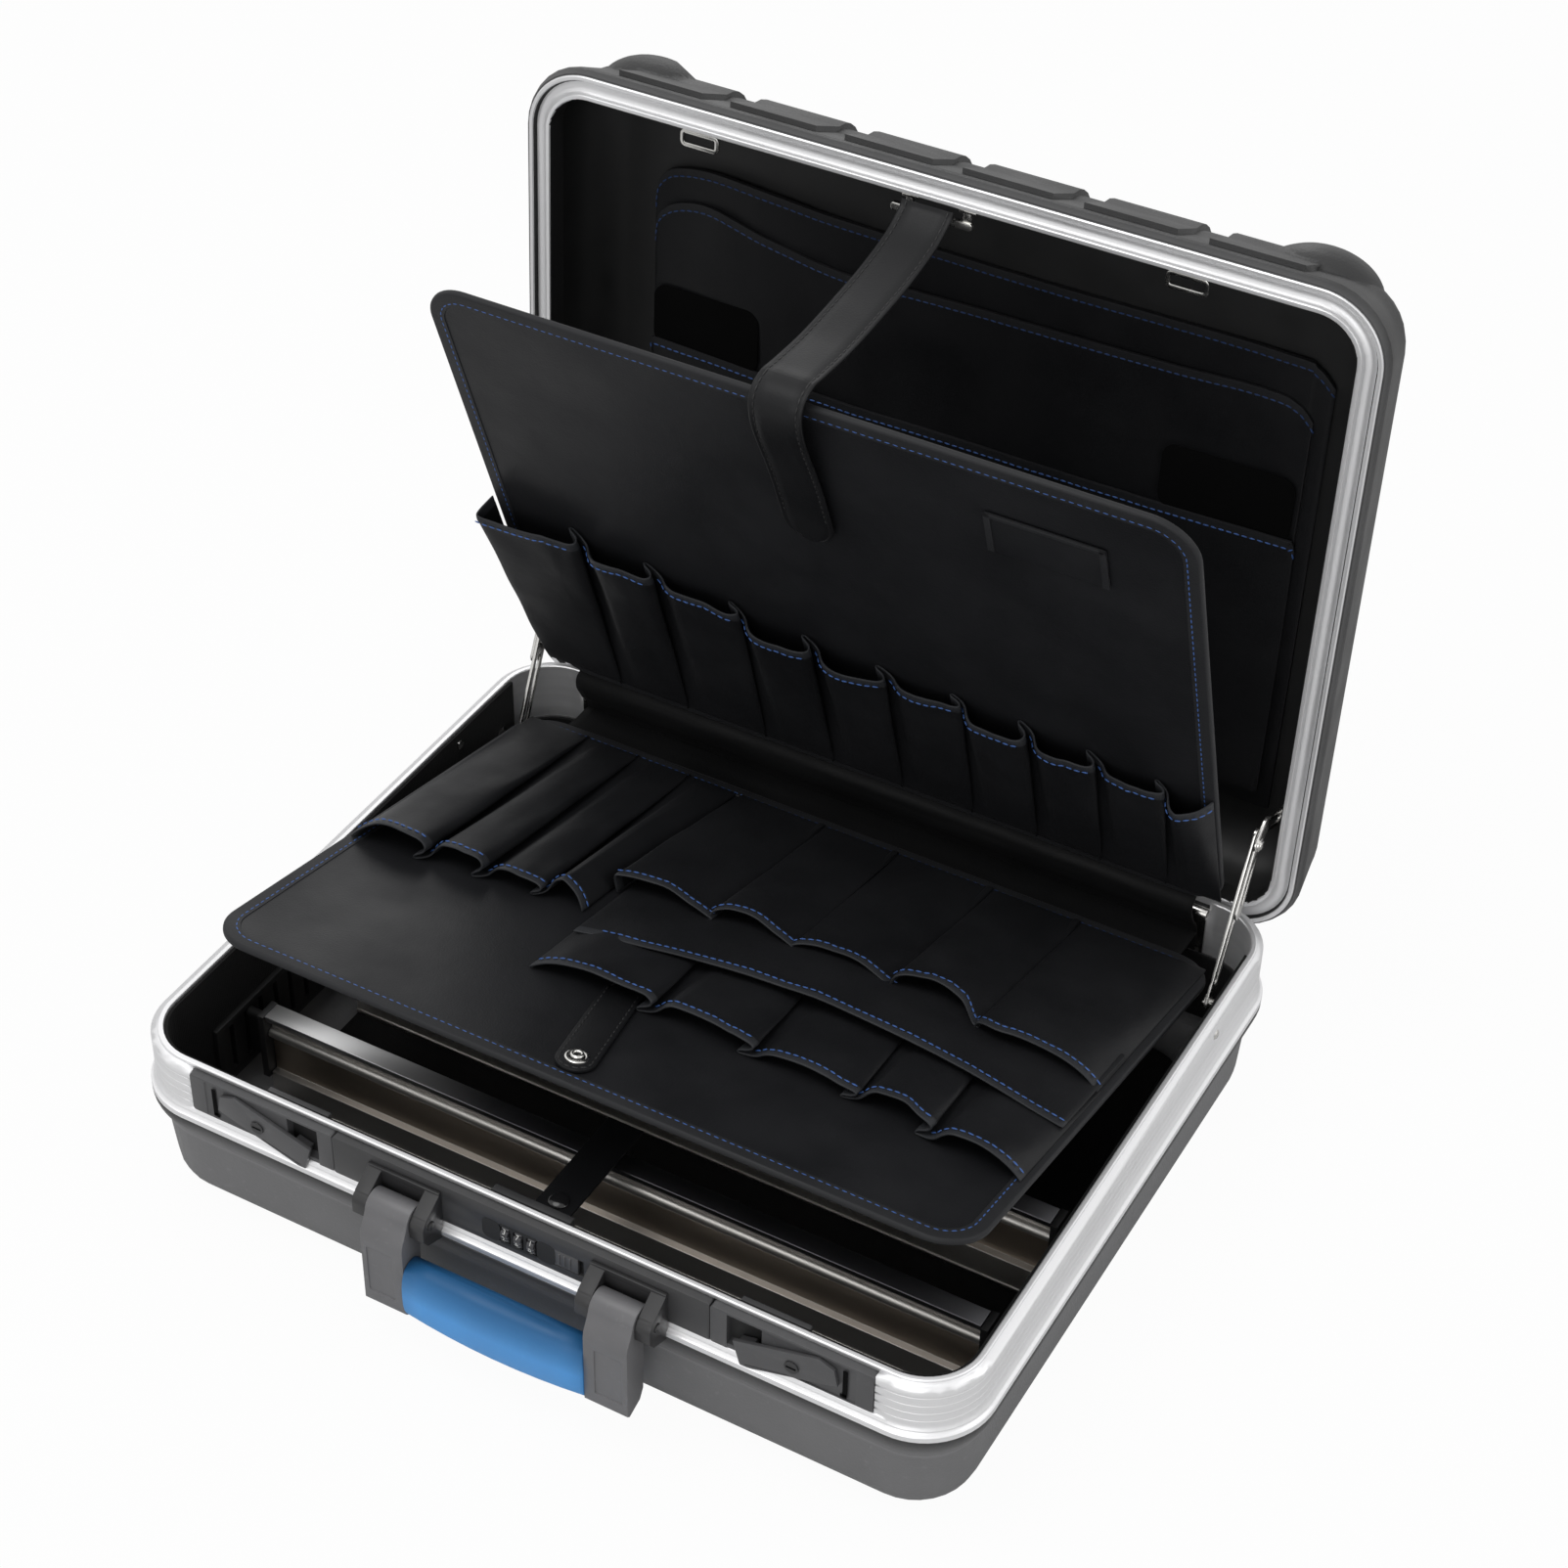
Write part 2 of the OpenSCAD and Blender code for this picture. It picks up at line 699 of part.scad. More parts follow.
// Grip section: a bulged D, fuller in the middle of the grip
function grip_ring(x, swell) = [for (a = [0 : 15 : 345])
    let (c = cos(a), s = sin(a), k = c < 0 ? 0.78 : 0.4)
    [x, grip_y + sign(c) * pow(abs(c), 0.8) * grip_t / 2 * (c < 0 ? 1 + 0.12 * swell : 0.9),
        grip_z + sign(s) * pow(abs(s), k) * grip_h / 2]];

module handle_grip() {
    steps = 8;
    core = [5 + 0.1, grip_h / 2 - 5.95];
    color("#2f7fc8") difference() {
        loft([for (i = [0 : steps])
            let (u = 2 * i / steps - 1) grip_ring(u * grip_x, 1 - u * u)]);
        box([-grip_x - 1, grip_y - core.x / 2, grip_z - core.y], [grip_x + 1, grip_y + core.x / 2, grip_z + core.y]);
    }
}

// ---------- Dividers ----------

divider_half = lining_x - strip_t - 2 * seat - 14;

// Section of a divider: flat top rail, recessed web with a rib, and a foot
module divider_section() {
    top = divider_z + divider_h;
    translate([-rail_t / 2, top - 2.4]) square([rail_t, 2.4]);
    translate([-rail_t / 2, top - 3.4]) square([1.2, 3]);
    translate([-rail_t / 2 + 5, divider_z]) square([1.8, divider_h - 1]);
    translate([-1, top - 14]) circle(3.1);
    translate([-rail_t / 2 + 1, divider_z + 16]) square([5, 1.6]);
    translate([-rail_t / 2 + 1, divider_z + 1]) square([1.4, 16]);
    translate([-rail_t / 2, divider_z]) square([rail_t, 2]);
}

module divider(y) {
    color("#b5b1a8") translate([0, y, 0]) along_x(-divider_half, 2 * divider_half) divider_section();
}

module divider_front() {
    divider(-divider_front_y);
}

module divider_rear() {
    divider(-divider_rear_y);
}

// Black end connectors that hook into the slotted strips
module divider_ends(y) {
    x1 = lining_x - strip_t - 2 * seat;
    top = divider_z + divider_h;
    color("#202123") both_sides() translate([0, y, 0]) {
        box([divider_half + seat, -rail_t / 2 - 1, bottom_edge_r], [divider_half + 4, rail_t / 2 + 1, top - 0.5]);
        box([divider_half + 3, -1.4, bottom_edge_r + 12], [x1, 1.4, top - 8]);
        translate([divider_half + 3, 0, top - 7]) rotate([0, 90, 0]) cylinder(r = 2.6, h = x1 - divider_half - 3);
    }
}

module divider_ends_front() {
    divider_ends(-divider_front_y);
}

module divider_ends_rear() {
    divider_ends(-divider_rear_y);
}

// ---------- Straps of the base ----------

strap_w = 20;

module base_strap() {
    y0 = cover_y + lock_cover_t + seat;
    end = -divider_front_y + 14;
    color("#18191a") along_x(-strap_w / 2, strap_w) polygon([
        [y0, base_h - 26], [y0, base_h - 14], [y0 + 1.6, base_h - 14.4], [y0 + 13, base_h - 24.4],
        [end, base_h - 26], [end, base_h - 27.6], [y0 + 12.4, base_h - 26],
        [y0 + 1.6, base_h - 17], [y0 + 1.6, base_h - 26]]);
}

// Press stud on that strap
module base_snap() {
    color("#24262a") translate([0, -half_d + 29, base_h - 24.4]) {
        cylinder(r = 5.5, h = 1.6);
        cylinder(r = 3.4, h = 2.8);
    }
}

// ---------- Lid stays ----------

// Pivots of the right-hand stay with the lid open, as (y, z)
stay_base = [half_d - 38.5, base_h - 30];
stay_lid = [half_d + 38.5, base_h + 43];
stay_lift = 64.6;
stay_rivet = stay_base + stay_l * [cos(stay_lift), sin(stay_lift)];
stay_bend = stay_rivet + [8, 6.5];
stay_base_x = half_w - 13.45;
stay_lid_x = stay_base_x + stay_t + 0.4;

module pivot_hole(p, r) {
    translate(p) circle(r);
}

module stay_base_link() {
    u = (stay_rivet - stay_base) / stay_l;
    color("#b9bcbf") along_x(stay_base_x - stay_t / 2, stay_t) difference() {
        bar(stay_base, stay_rivet + 4 * u, stay_w);
        bar(stay_base + 12 * u, stay_base + 50 * u, stay_w * 0.42);
        bar(stay_base + 60 * u, stay_base + 76 * u, stay_w * 0.42);
        pivot_hole(stay_base, stay_pin_r + run_fit);
        pivot_hole(stay_rivet, stay_pin_r);
    }
}

module stay_lid_link() {
    u = (stay_rivet - stay_base) / stay_l;
    w = stay_w;
    color("#c4c6c9") {
        along_x(stay_lid_x - stay_t / 2, stay_t) difference() {
            union() {
                bar(stay_lid, stay_bend, w);
                bar(stay_bend, stay_rivet, w + 1);
                bar(stay_rivet, stay_rivet - 38 * u, w - 1);
            }
            pivot_hole(stay_lid, stay_pin_r + run_fit);
            bar(stay_lid + 0.35 * (stay_bend - stay_lid), stay_lid + 0.8 * (stay_bend - stay_lid), w * 0.4);
            bar(stay_rivet - 14 * u, stay_rivet - 32 * u, w * 0.35);
        }
        translate([stay_lid_x + stay_t / 2 - eps, stay_rivet.x, stay_rivet.y]) rotate([0, 90, 0]) {
            cylinder(r = 3.8, h = 1);
            cylinder(r = 2.4, h = 1.8);
        }
    }
}

module stay_base_link_right() {
    stay_base_link();
}

module stay_base_link_left() {
    mirror([1, 0, 0]) stay_base_link();
}

module stay_lid_link_right() {
    stay_lid_link();
}

module stay_lid_link_left() {
    mirror([1, 0, 0]) stay_lid_link();
}

module stay_base_brackets() {
    inner = stay_base_x - stay_t / 2 - 0.3;
    color("#aeb1b4") both_sides() translate([0, stay_base.x, stay_base.y]) rotate([0, 90, 0]) {
        translate([0, 0, inner - 1.2]) cylinder(r = 3.6, h = 1.2);
        translate([0, 0, inner - eps]) cylinder(r = stay_pin_r, h = half_w - 0.05 - inner);
        translate([0, 0, stay_base_x + stay_t / 2 + stay_t + 1.6]) cylinder(r = 4, h = 4);
    }
}

module stay_lid_brackets() {
    inner = stay_lid_x - stay_t / 2 - 0.3;
    reach = stay_lid - [hinge_y, hinge_z];
    height = reach.x * sin(open_angle) + reach.y * cos(open_angle) - hinge_drop;
    wall_x = half_w + wall_d(height + 3.5, side_lean) - wall - seat;
    color("#aeb1b4") both_sides() translate([0, stay_lid.x, stay_lid.y]) rotate([0, 90, 0]) {
        translate([0, 0, inner - 1.2]) cylinder(r = 3.6, h = 1.2);
        translate([0, 0, inner - eps]) cylinder(r = stay_pin_r, h = wall_x - inner);
        translate([0, 0, stay_lid_x + stay_t / 2 + 1.2]) cylinder(r = 3.5, h = wall_x - stay_lid_x - stay_t / 2 - 1.2);
    }
}

// ---------- Tool boards ----------

// Flat board, closed position, from its sewn edge at y towards the front
module board_panel(y, z, size, r) {
    translate([0, y - size.y / 2, z - board_t / 2]) linear_extrude(board_t) rounded(size.x / 2, size.y / 2, r);
}

// Row of pockets on a board, thin at the sewn foot and gaping at the mouth. Seams are shares of
// the board's half width, foot and mouths shares of its length; side is +1 above, -1 below it.
module pocket_row(y, z, side, size, seams, foot, mouths, thick) {
    y0 = y - foot * size.y;
    for (i = [0 : len(mouths) - 1]) {
        x0 = seams[i] * size.x / 2 + 0.4;
        x1 = seams[i + 1] * size.x / 2 - 0.4;
        y1 = y - mouths[i] * size.y;
        along_x(x0, x1 - x0) polygon([
            [y0, z], [y1 + 1.5, z], [y1, z + side * (thick - 0.5)],
            [y1 + 1.5, z + side * thick], [(y0 + y1) / 2, z + side * thick * 0.8],
            [y0, z + side * 1.4]]);
    }
}

lower_top = lower_z + board_t / 2 + 0.05;

lower_size = [lower_w, lower_l];

module board_lower() {
    color("#1b1c1e") lower_open() board_panel(lower_y, lower_z, lower_size, board_r);
}

module lower_pockets_left() {
    color("#1e1f21") lower_open() pocket_row(lower_y, lower_top, 1, lower_size,
        [-0.976, -0.823, -0.66, -0.498, -0.356], 0.034, [0.6, 0.58, 0.566, 0.549], pocket_t);
}

module lower_pockets_right() {
    color("#1e1f21") lower_open() pocket_row(lower_y, lower_top, 1, lower_size,
        [-0.335, -0.091, 0.124, 0.397, 0.641, 0.971], 0.034, [0.465, 0.444, 0.431, 0.431, 0.478], pocket_t);
}

// The two rows nearer the front edge: one long strip and a row of short pockets
module lower_pockets_front() {
    color("#1e1f21") lower_open() {
        pocket_row(lower_y, lower_top, 1, lower_size, [-0.316, 0.971], 0.491, [0.64], 3);
        pocket_row(lower_y, lower_top, 1, lower_size, [-0.321, -0.029, 0.244, 0.526, 0.713, 0.976],
            0.645, [0.774, 0.768, 0.771, 0.771, 0.791], pocket_t - 2);
    }
}

lower_strap_x = -6;
lower_strap_w = 22;
lower_snap_y = lower_y - lower_l + 13;

module lower_strap() {
    color("#1a1b1d") lower_open() translate([lower_strap_x, 0, lower_top + 0.05]) linear_extrude(1.5) {
        translate([-lower_strap_w / 2, lower_snap_y]) square([lower_strap_w, 48]);
        translate([0, lower_snap_y]) circle(lower_strap_w / 2);
    }
}

module lower_snap() {
    color("#9c9fa3") lower_open() translate([lower_strap_x, lower_snap_y, lower_top + 1.6]) difference() {
        cylinder(r = 6.5, h = 2);
        translate([0, 0, -1]) cylinder(r = 3.4, h = 4);
    }
}

upper_under = upper_z - board_t / 2 - 0.05;

upper_size = [upper_w, upper_l];

module board_upper() {
    color("#1b1c1e") upper_open() board_panel(upper_y, upper_z, upper_size, board_r);
}

module upper_pockets() {
    color("#1e1f21") upper_open() pocket_row(upper_y, upper_under, -1, upper_size,
        [-0.995, -0.765, -0.554, -0.314, -0.108, 0.098, 0.304, 0.485, 0.667, 0.848, 0.995],
        0.02, [0.44, 0.421, 0.39, 0.352, 0.333, 0.324, 0.321, 0.308, 0.296, 0.29], pocket_t);
}

// Holder for a card, open at the top: its outer size and the width of its rim
card = [62, 28];
card_rim = 3;

module upper_card_holder() {
    x0 = upper_w / 2 - 108;
    y0 = upper_y - upper_l + 34;
    color("#1e1f21") upper_open() difference() {
        box([x0, y0, upper_under - 1.4], [x0 + card.x, y0 + card.y, upper_under]);
        box([x0 + card_rim, y0 - 1, upper_under - 2], [x0 + card.x - card_rim, y0 + 5, upper_under - 0.6]);
    }
}

// End of the lid strap, sewn down the face of the upper board
strap_x = -2;
strap_half = 14;
strap_end_l = 86;
strap_t = 2;

module upper_strap_end() {
    color("#1a1b1d") upper_open() translate([strap_x, 0, upper_under - strap_t]) linear_extrude(strap_t) {
        translate([-strap_half, upper_y - upper_l]) square([2 * strap_half, strap_end_l]);
        translate([0, upper_y - upper_l + strap_end_l]) circle(strap_half);
    }
}

// ---------- Lid ----------

face_z = lid_h - pad_h;

// Offset of a lid wall at height h above the rim
function wall_d(h, lean) = ridge_d - max(0, h - ridge_h) * tan(lean);

function lid_ring(side, front, h) = ring(half_w + side, -half_d - front, half_d + side,
    corner_r + side, base_h + h);

// Rings of the lid's wall and rounded edge; inset d, face lowered by drop
function lid_rings(d, drop) = [
    lid_ring(wall_d(ridge_h, side_lean) - d, wall_d(ridge_h, front_lean) - d, ridge_h),
    for (t = [0 : 15 : 90])
        let (r = lid_edge_r, start = face_z - drop - r, cut = r * (1 - cos(t)))
        lid_ring(wall_d(start, side_lean) - d - cut, wall_d(start, front_lean) - d - cut, start + r * sin(t))];

module lid_shell() {
    flange = [[2.2, 1.6], [5, 0.5]];
    color("#2b2c2e") lid_open() difference() {
        union() {
            loft([for (f = flange) lid_ring(ridge_d - f[1], ridge_d - f[1], f[0]), each lid_rings(0, 0)]);
            intersection() {
                loft(lid_rings(-pad_h, -pad_h));
                pads();
            }
            corner_bumpers();
        }
        loft([
            for (h = [1, ridge_h + 0.6]) lid_ring(rim_out + seat, rim_out + seat, h),
            for (i = [1 : 7]) lid_rings(wall, wall)[i]]);
    }
}

// Bars that the raised pads are cut from
module pads() {
    w = pad_pitch - valley_w;
    for (i = [(1 - pads) / 2 : 1 : (pads - 1) / 2])
        box([i * pad_pitch - w / 2, -half_d - 20, base_h + 12], [i * pad_pitch + w / 2, half_d - 16, lid_face + 1]);
}

// Bulged bumpers on the lid's front corners, each with a shallow oval dish
bumper_r = 22;

module corner_bumpers() {
    r = bumper_r;
    for (s = [-1, 1]) translate([s * (half_w - 42), -half_d + 17.5, lid_face - 18.8]) difference() {
        scale([1.45, 1, 1]) sphere(r = r, $fn = 36);
        translate([-s * 0.86 * r, -0.66 * r, 0.6 * r]) scale([1.5, 1, 1]) sphere(r = 0.42 * r, $fn = 24);
    }
}

// Section of the lid's rim: two lips with a concave channel between them
module rim_section() {
    z = rim_z;
    a = -rim_in + 2.8;
    b = rim_out - 2.6;
    mid = (a + b) / 2;
    wide = (b - a) / 2;
    polygon([[-rim_in, z + 0.6], [-rim_in + 0.6, z], [a - 0.5, z], [a, z + 0.5],
        for (t = [15 : 15 : 165]) [mid - wide * cos(t), z + 0.5 + channel * sin(t)],
        [b, z + 0.5], [b + 0.5, z], [rim_out - 0.6, z], [rim_out, z + 0.6],
        [rim_out, base_h + ridge_h + 0.5], [-rim_in + 1.8, base_h + ridge_h + 0.5],
        [-rim_in + 1.8, base_h + 14], [-rim_in, base_h + 14]]);
}

module lid_frame() {
    color("#c9ccd0") lid_open() around() rim_section();
}

// Striker loops that the latches catch, on the inside of the lid's front rim
striker_x = lever_x - 17;

module lid_strikers() {
    y0 = -half_d + rim_in + 0.05;
    color("#c3c6c9") lid_open() for (s = [-1, 1]) translate([s * striker_x, 0, 0]) {
        along_y(y0, 1.6) difference() {
            translate([0, rim_z + 8.5]) rounded(9.5, 7.5, 2.4);
            translate([0, rim_z + 7]) rounded(6, 2.2, 1);
        }
    }
}

// Hooks beside the strap that the lock catches
module lid_hooks() {
    y0 = -half_d + rim_in + 0.05;
    color("#c3c6c9") lid_open() for (x = [-14, 17]) along_y(y0, 1.8) {
        translate([x, rim_z + 1]) square([4.5, 14]);
        translate([x - 6, rim_z + 1]) square([8, 4]);
    }
}

panel_z = lid_face - pad_h - wall - 0.3;

module lid_panel() {
    color("#18191b") lid_open() translate([0, 2, panel_z - 3]) linear_extrude(3) rounded(half_w - 37, half_d - 33.5, 20);
}

module lid_pocket_back() {
    color("#1c1d1f") lid_open() translate([8, 14, panel_z - 5.6]) linear_extrude(2.5) rounded(half_w - 49, half_d - 51.5, 18);
}

module lid_pocket_front() {
    color("#1e1f21") lid_open() translate([8, 34, panel_z - 9]) linear_extrude(3.2) rounded(half_w - 49, half_d - 75.5, 14);
}

// Leather strap from the lid's front rim to the upper board
strap_top = [half_d + 22, base_h + 341.6];

module lid_strap() {
    edge = upper_edge(upper_l + strap_t / 2 + 0.3);
    back = edge + (board_t + 0.6) * [sin(upper_angle), cos(upper_angle)];
    sag = [(strap_top.x + back.x) / 2, (strap_top.y + back.y) / 2 - 9];
    color("#1a1b1d") along_x(strap_x - strap_half, 2 * strap_half) {
        bar(strap_top, sag, strap_t);
        bar(sag, back, strap_t);
        bar(back, edge, strap_t);
    }
}

// Point on the upper board's plane, at a distance from its sewn edge
function upper_edge(l) = [upper_y - l * cos(upper_angle), upper_z - board_t / 2 + l * sin(upper_angle)];

base_shell();
base_frame();
wall_liner();
floor_liner();
slot_strips();
frame_rivets();
hinge_base_leaves();
hinge_pins();
spine_strip();
latch_plate_left();
latch_plate_right();
latch_pivots();
latch_covers();
latch_lever_left();
latch_lever_right();
lock_plate();
lock_cover();
lock_slider();
dial_axle();
dial_1();
dial_2();
dial_3();
handle_bracket_left();
handle_bracket_right();
handle_pins();
handle_frame();
handle_grip();
divider_front();
divider_rear();
divider_ends_front();
divider_ends_rear();
base_strap();
base_snap();
stay_base_brackets();
stay_base_link_left();
stay_base_link_right();
stay_lid_link_left();
stay_lid_link_right();
board_lower();
lower_pockets_left();
lower_pockets_right();
lower_pockets_front();
lower_strap();
lower_snap();
board_upper();
upper_pockets();
upper_card_holder();
upper_strap_end();
lid_shell();
lid_frame();
hinge_lid_leaves();
lid_strikers();
lid_hooks();
lid_panel();
lid_pocket_back();
lid_pocket_front();
lid_strap();
stay_lid_brackets();
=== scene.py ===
"""Looks of a hard tool case with an aluminium frame: shells, frame, latches, lock, handle,
tool boards with sewn pockets, lid pockets, strap and stays."""
import json
import math

import bmesh
import bpy
from bpy.props import FloatProperty, FloatVectorProperty, PointerProperty
from mathutils import Matrix, Vector, noise


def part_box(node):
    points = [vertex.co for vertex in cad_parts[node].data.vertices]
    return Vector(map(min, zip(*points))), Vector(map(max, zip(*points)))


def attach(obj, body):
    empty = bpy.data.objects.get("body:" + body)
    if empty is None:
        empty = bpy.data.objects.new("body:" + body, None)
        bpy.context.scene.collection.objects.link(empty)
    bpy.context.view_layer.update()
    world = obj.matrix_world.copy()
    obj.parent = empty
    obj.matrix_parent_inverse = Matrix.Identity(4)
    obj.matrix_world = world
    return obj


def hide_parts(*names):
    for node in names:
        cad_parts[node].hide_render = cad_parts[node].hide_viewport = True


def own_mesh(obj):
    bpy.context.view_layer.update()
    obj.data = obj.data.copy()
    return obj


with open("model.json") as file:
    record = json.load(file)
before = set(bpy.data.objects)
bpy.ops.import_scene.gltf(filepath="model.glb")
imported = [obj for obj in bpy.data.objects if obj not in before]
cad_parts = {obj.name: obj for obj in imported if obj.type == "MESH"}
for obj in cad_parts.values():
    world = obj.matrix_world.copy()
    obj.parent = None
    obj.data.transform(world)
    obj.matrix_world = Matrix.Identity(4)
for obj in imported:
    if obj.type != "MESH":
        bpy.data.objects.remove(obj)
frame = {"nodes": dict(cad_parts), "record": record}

bl_info = {
    "name": "Hard tool case",
    "version": (1, 0, 0),
    "blender": (4, 5, 0),
    "location": "3D View > Sidebar > Tool case",
    "description": "Builds the looks of a hard tool case around its frame",
    "category": "Object",
}

MM = 0.001
BODY_OF = {n: b for b, ns in frame["record"]["behaviour"]["bodies"].items() for n in ns}

# Main sizes of the case, in millimetres, as its solids have them
HALF_W, HALF_D = 225.0, 179.5
HINGE = (179.5, 91.7)
OPEN_ANGLE = 92.5
BOARD_T = 4.0
# Tool boards: their panel, where they turn, lift in degrees, width, length, height of the lower face over the
# pivot, and the side that the pockets are on, with its face's distance from the pivot
LOWER = {"panel": "lower_panel", "pivot": (155.0, 80.0), "angle": 12.3, "w": 421.0, "l": 303.0,
         "low": -BOARD_T / 2, "side": 1, "face": BOARD_T / 2}
UPPER = {"panel": "upper_panel", "pivot": (168.0, 110.0), "angle": 70.5, "w": 408.0, "l": 318.0,
         "low": 0.0, "side": -1, "face": 0.0}
CORNER_R = 28.0
# Flange under the band: height and offset from the case's inner outline, top to bottom
FLANGE = ((64.7, 9.2), (63.4, 9.5), (61.0, 9.3), (58.2, 8.5), (55.4, 7.3), (52.8, 6.0), (50.4, 5.0),
          (48.9, 4.6), (48.2, 4.1), (47.6, 3.3))


# ---------- Settings ----------


class CaseColours(bpy.types.PropertyGroup):
    """Colours a user would change"""

    def tint(name, about, rgb):
        return FloatVectorProperty(name=name, description=about, subtype="COLOR", size=3, min=0, max=1,
                                   default=rgb)

    grip: tint("Grip", "Soft-touch grip of the handle", (0.092, 0.355, 0.790))
    thread: tint("Thread", "Stitching of the boards and pockets", (0.040, 0.105, 0.32))
    shell: tint("Shell", "Plastic shells", (0.166, 0.166, 0.170))
    fittings: tint("Fittings", "Latches and lock plate", (0.072, 0.072, 0.075))
    handle: tint("Handle", "Handle's arms and brackets", (0.152, 0.151, 0.157))
    leather: tint("Leatherette", "Boards, pockets and straps", (0.0116, 0.0119, 0.0134))
    hem: tint("Hem tape", "Tape that binds the boards and hems", (0.0200, 0.0205, 0.0225))
    lining: tint("Lining", "Woven lining of the walls", (0.0050, 0.0050, 0.0052))
    aluminium: tint("Aluminium", "Frame, rim and dividers", (0.90, 0.90, 0.91))


class CaseSizes(bpy.types.PropertyGroup):
    """Sizes a user would change"""

    def length(name, about, metres):
        return FloatProperty(name=name, description=about, subtype="DISTANCE", unit="LENGTH", min=0,
                             default=metres)

    stitch: length("Stitch", "Length of one stitch", 0.0033)
    pitch: length("Stitch pitch", "Distance from stitch to stitch", 0.0042)
    thread: length("Thread", "Thickness of the sewing thread", 0.0008)
    tape: length("Tape", "Width of the tape round the boards", 0.0085)
    hem: length("Hem", "Width of the hems on the pocket mouths", 0.0054)
    cloth: length("Cloth", "Thickness of the pocket cloth", 0.0011)


def sizes():
    return bpy.context.scene.case_sizes


# ---------- Materials ----------


class Tree:
    """Short way to write a node material"""

    def __init__(self, name, owner=None):
        self.material = owner or bpy.data.materials.new(name)
        self.material.use_nodes = True
        self.nodes = self.material.node_tree.nodes
        self.links = self.material.node_tree.links
        self.surface = self.nodes.get("Principled BSDF")
        self.coords = self.nodes.new("ShaderNodeTexCoord").outputs["Object"]

    def add(self, kind, into=None, out=0, **settings):
        made = self.nodes.new("ShaderNode" + kind)
        for key, value in settings.items():
            setattr(made, key, value)
        for key, value in (into or {}).items():
            self.feed(made.inputs[key], value)
        return made.outputs[out]

    def feed(self, socket, value):
        if isinstance(value, bpy.types.NodeSocket):
            self.links.new(value, socket)
        else:
            socket.default_value = value

    def set(self, **values):
        for key, value in values.items():
            self.feed(self.surface.inputs[key.replace("_", " ")], value)
        return self

    def part(self, axis):
        """One of the place's coordinates: 0, 1 or 2 for X, Y or Z"""
        return self.add("SeparateXYZ", {"Vector": self.coords}, out=axis)

    def noise(self, scale, detail=3.0, where=None, rough=0.5):
        return self.add("TexNoise", {"Vector": where or self.coords, "Scale": scale, "Detail": detail,
                                     "Roughness": rough})

    def cells(self, scale, feature="F1"):
        return self.add("TexVoronoi", {"Vector": self.coords, "Scale": scale}, feature=feature)

    def math(self, operation, a, b=0.0):
        return self.add("Math", {0: a, 1: b}, operation=operation)

    def span(self, value, lo, hi, to_lo=0.0, to_hi=1.0):
        return self.add("MapRange", {"Value": value, "From Min": lo, "From Max": hi, "To Min": to_lo,
                                     "To Max": to_hi})

    def spread(self, cloud, low, high):
        """The middle of a noise stretched to a range"""
        return self.span(cloud, 0.3, 0.7, low, high)

    def blend(self, factor, a, b):
        mix = self.nodes.new("ShaderNodeMix")
        mix.data_type = "RGBA"
        for key, value in (("Factor", factor), ("A", a), ("B", b)):
            kind = "VALUE" if key == "Factor" else "RGBA"
            self.feed(next(s for s in mix.inputs if s.name == key and s.type == kind), value)
        return next(s for s in mix.outputs if s.type == "RGBA")

    def flecks(self, tint, where, share, colour):
        """The tint with a share of another colour where a mask is 1"""
        return self.blend(self.math("MULTIPLY", where, share), tint, colour)

    def bump(self, height, strength, distance=0.0002, under=None):
        into = {"Height": height, "Strength": strength, "Distance": distance}
        if under is not None:
            into["Normal"] = under
        self.set(Normal=self.add("Bump", into))
        return self.surface.inputs["Normal"].links[0].from_socket


def shade(rgb, k):
    return (min(rgb[0] * k, 1), min(rgb[1] * k, 1), min(rgb[2] * k, 1), 1)


def pebbled(name, rgb, low, high, attribute=None):
    """Moulded plastic with a fine pebbled skin and light scuffs. Painted shade darkens it between two heights
    in millimetres, with a painted highlight line just below them; an attribute may give the height."""
    t = Tree(name)
    cells = t.cells(1 / (1.25 * MM), feature="SMOOTH_F1")
    patches = t.noise(28, 4)
    scuffs = t.span(t.noise(190, 6, rough=0.7), 0.60, 0.74)
    tint = t.blend(patches, shade(rgb, 0.82), shade(rgb, 1.18))
    tint = t.flecks(tint, scuffs, 0.22, shade(rgb, 2.2))
    height = t.add("Attribute", attribute_name=attribute, out=2) if attribute else t.part(2)
    wavy = t.math("ADD", height, t.spread(patches, -0.0006, 0.0006))
    # Painted shade: the colour darkens from the low height to the high one and stays dark beyond it
    tint = t.blend(t.span(wavy, low * MM, high * MM), tint, shade(rgb, 0.22))
    # Painted highlight: a pale line a few millimetres below the low height
    edge = t.math("MULTIPLY", t.span(height, (low - 5.5) * MM, (low - 3.5) * MM),
                  t.span(height, (low - 1) * MM, (low - 3) * MM))
    t.set(Base_Color=t.flecks(tint, edge, 0.3, shade(rgb, 2.2)))
    t.set(Roughness=t.spread(patches, 0.44, 0.56), Specular_IOR_Level=0.45)
    t.bump(cells, 0.35, 0.00035)
    return t.material


def satin_plastic(name, rgb, rough=0.42, gloss=0.5):
    """Smooth moulded plastic with a fine spark-eroded skin, paler where it is handled"""
    t = Tree(name)
    patches = t.noise(60, 4)
    fine = t.noise(2600, 2)
    rubbed = t.span(t.noise(340, 5, rough=0.65), 0.58, 0.75)
    tint = t.blend(patches, shade(rgb, 0.85), shade(rgb, 1.15))
    t.set(Base_Color=t.flecks(tint, rubbed, 0.16, shade(rgb, 2.4)))
    t.set(Roughness=t.spread(patches, rough - 0.05, rough + 0.07), Specular_IOR_Level=gloss)
    t.bump(fine, 0.10, 0.0001)
    return t.material


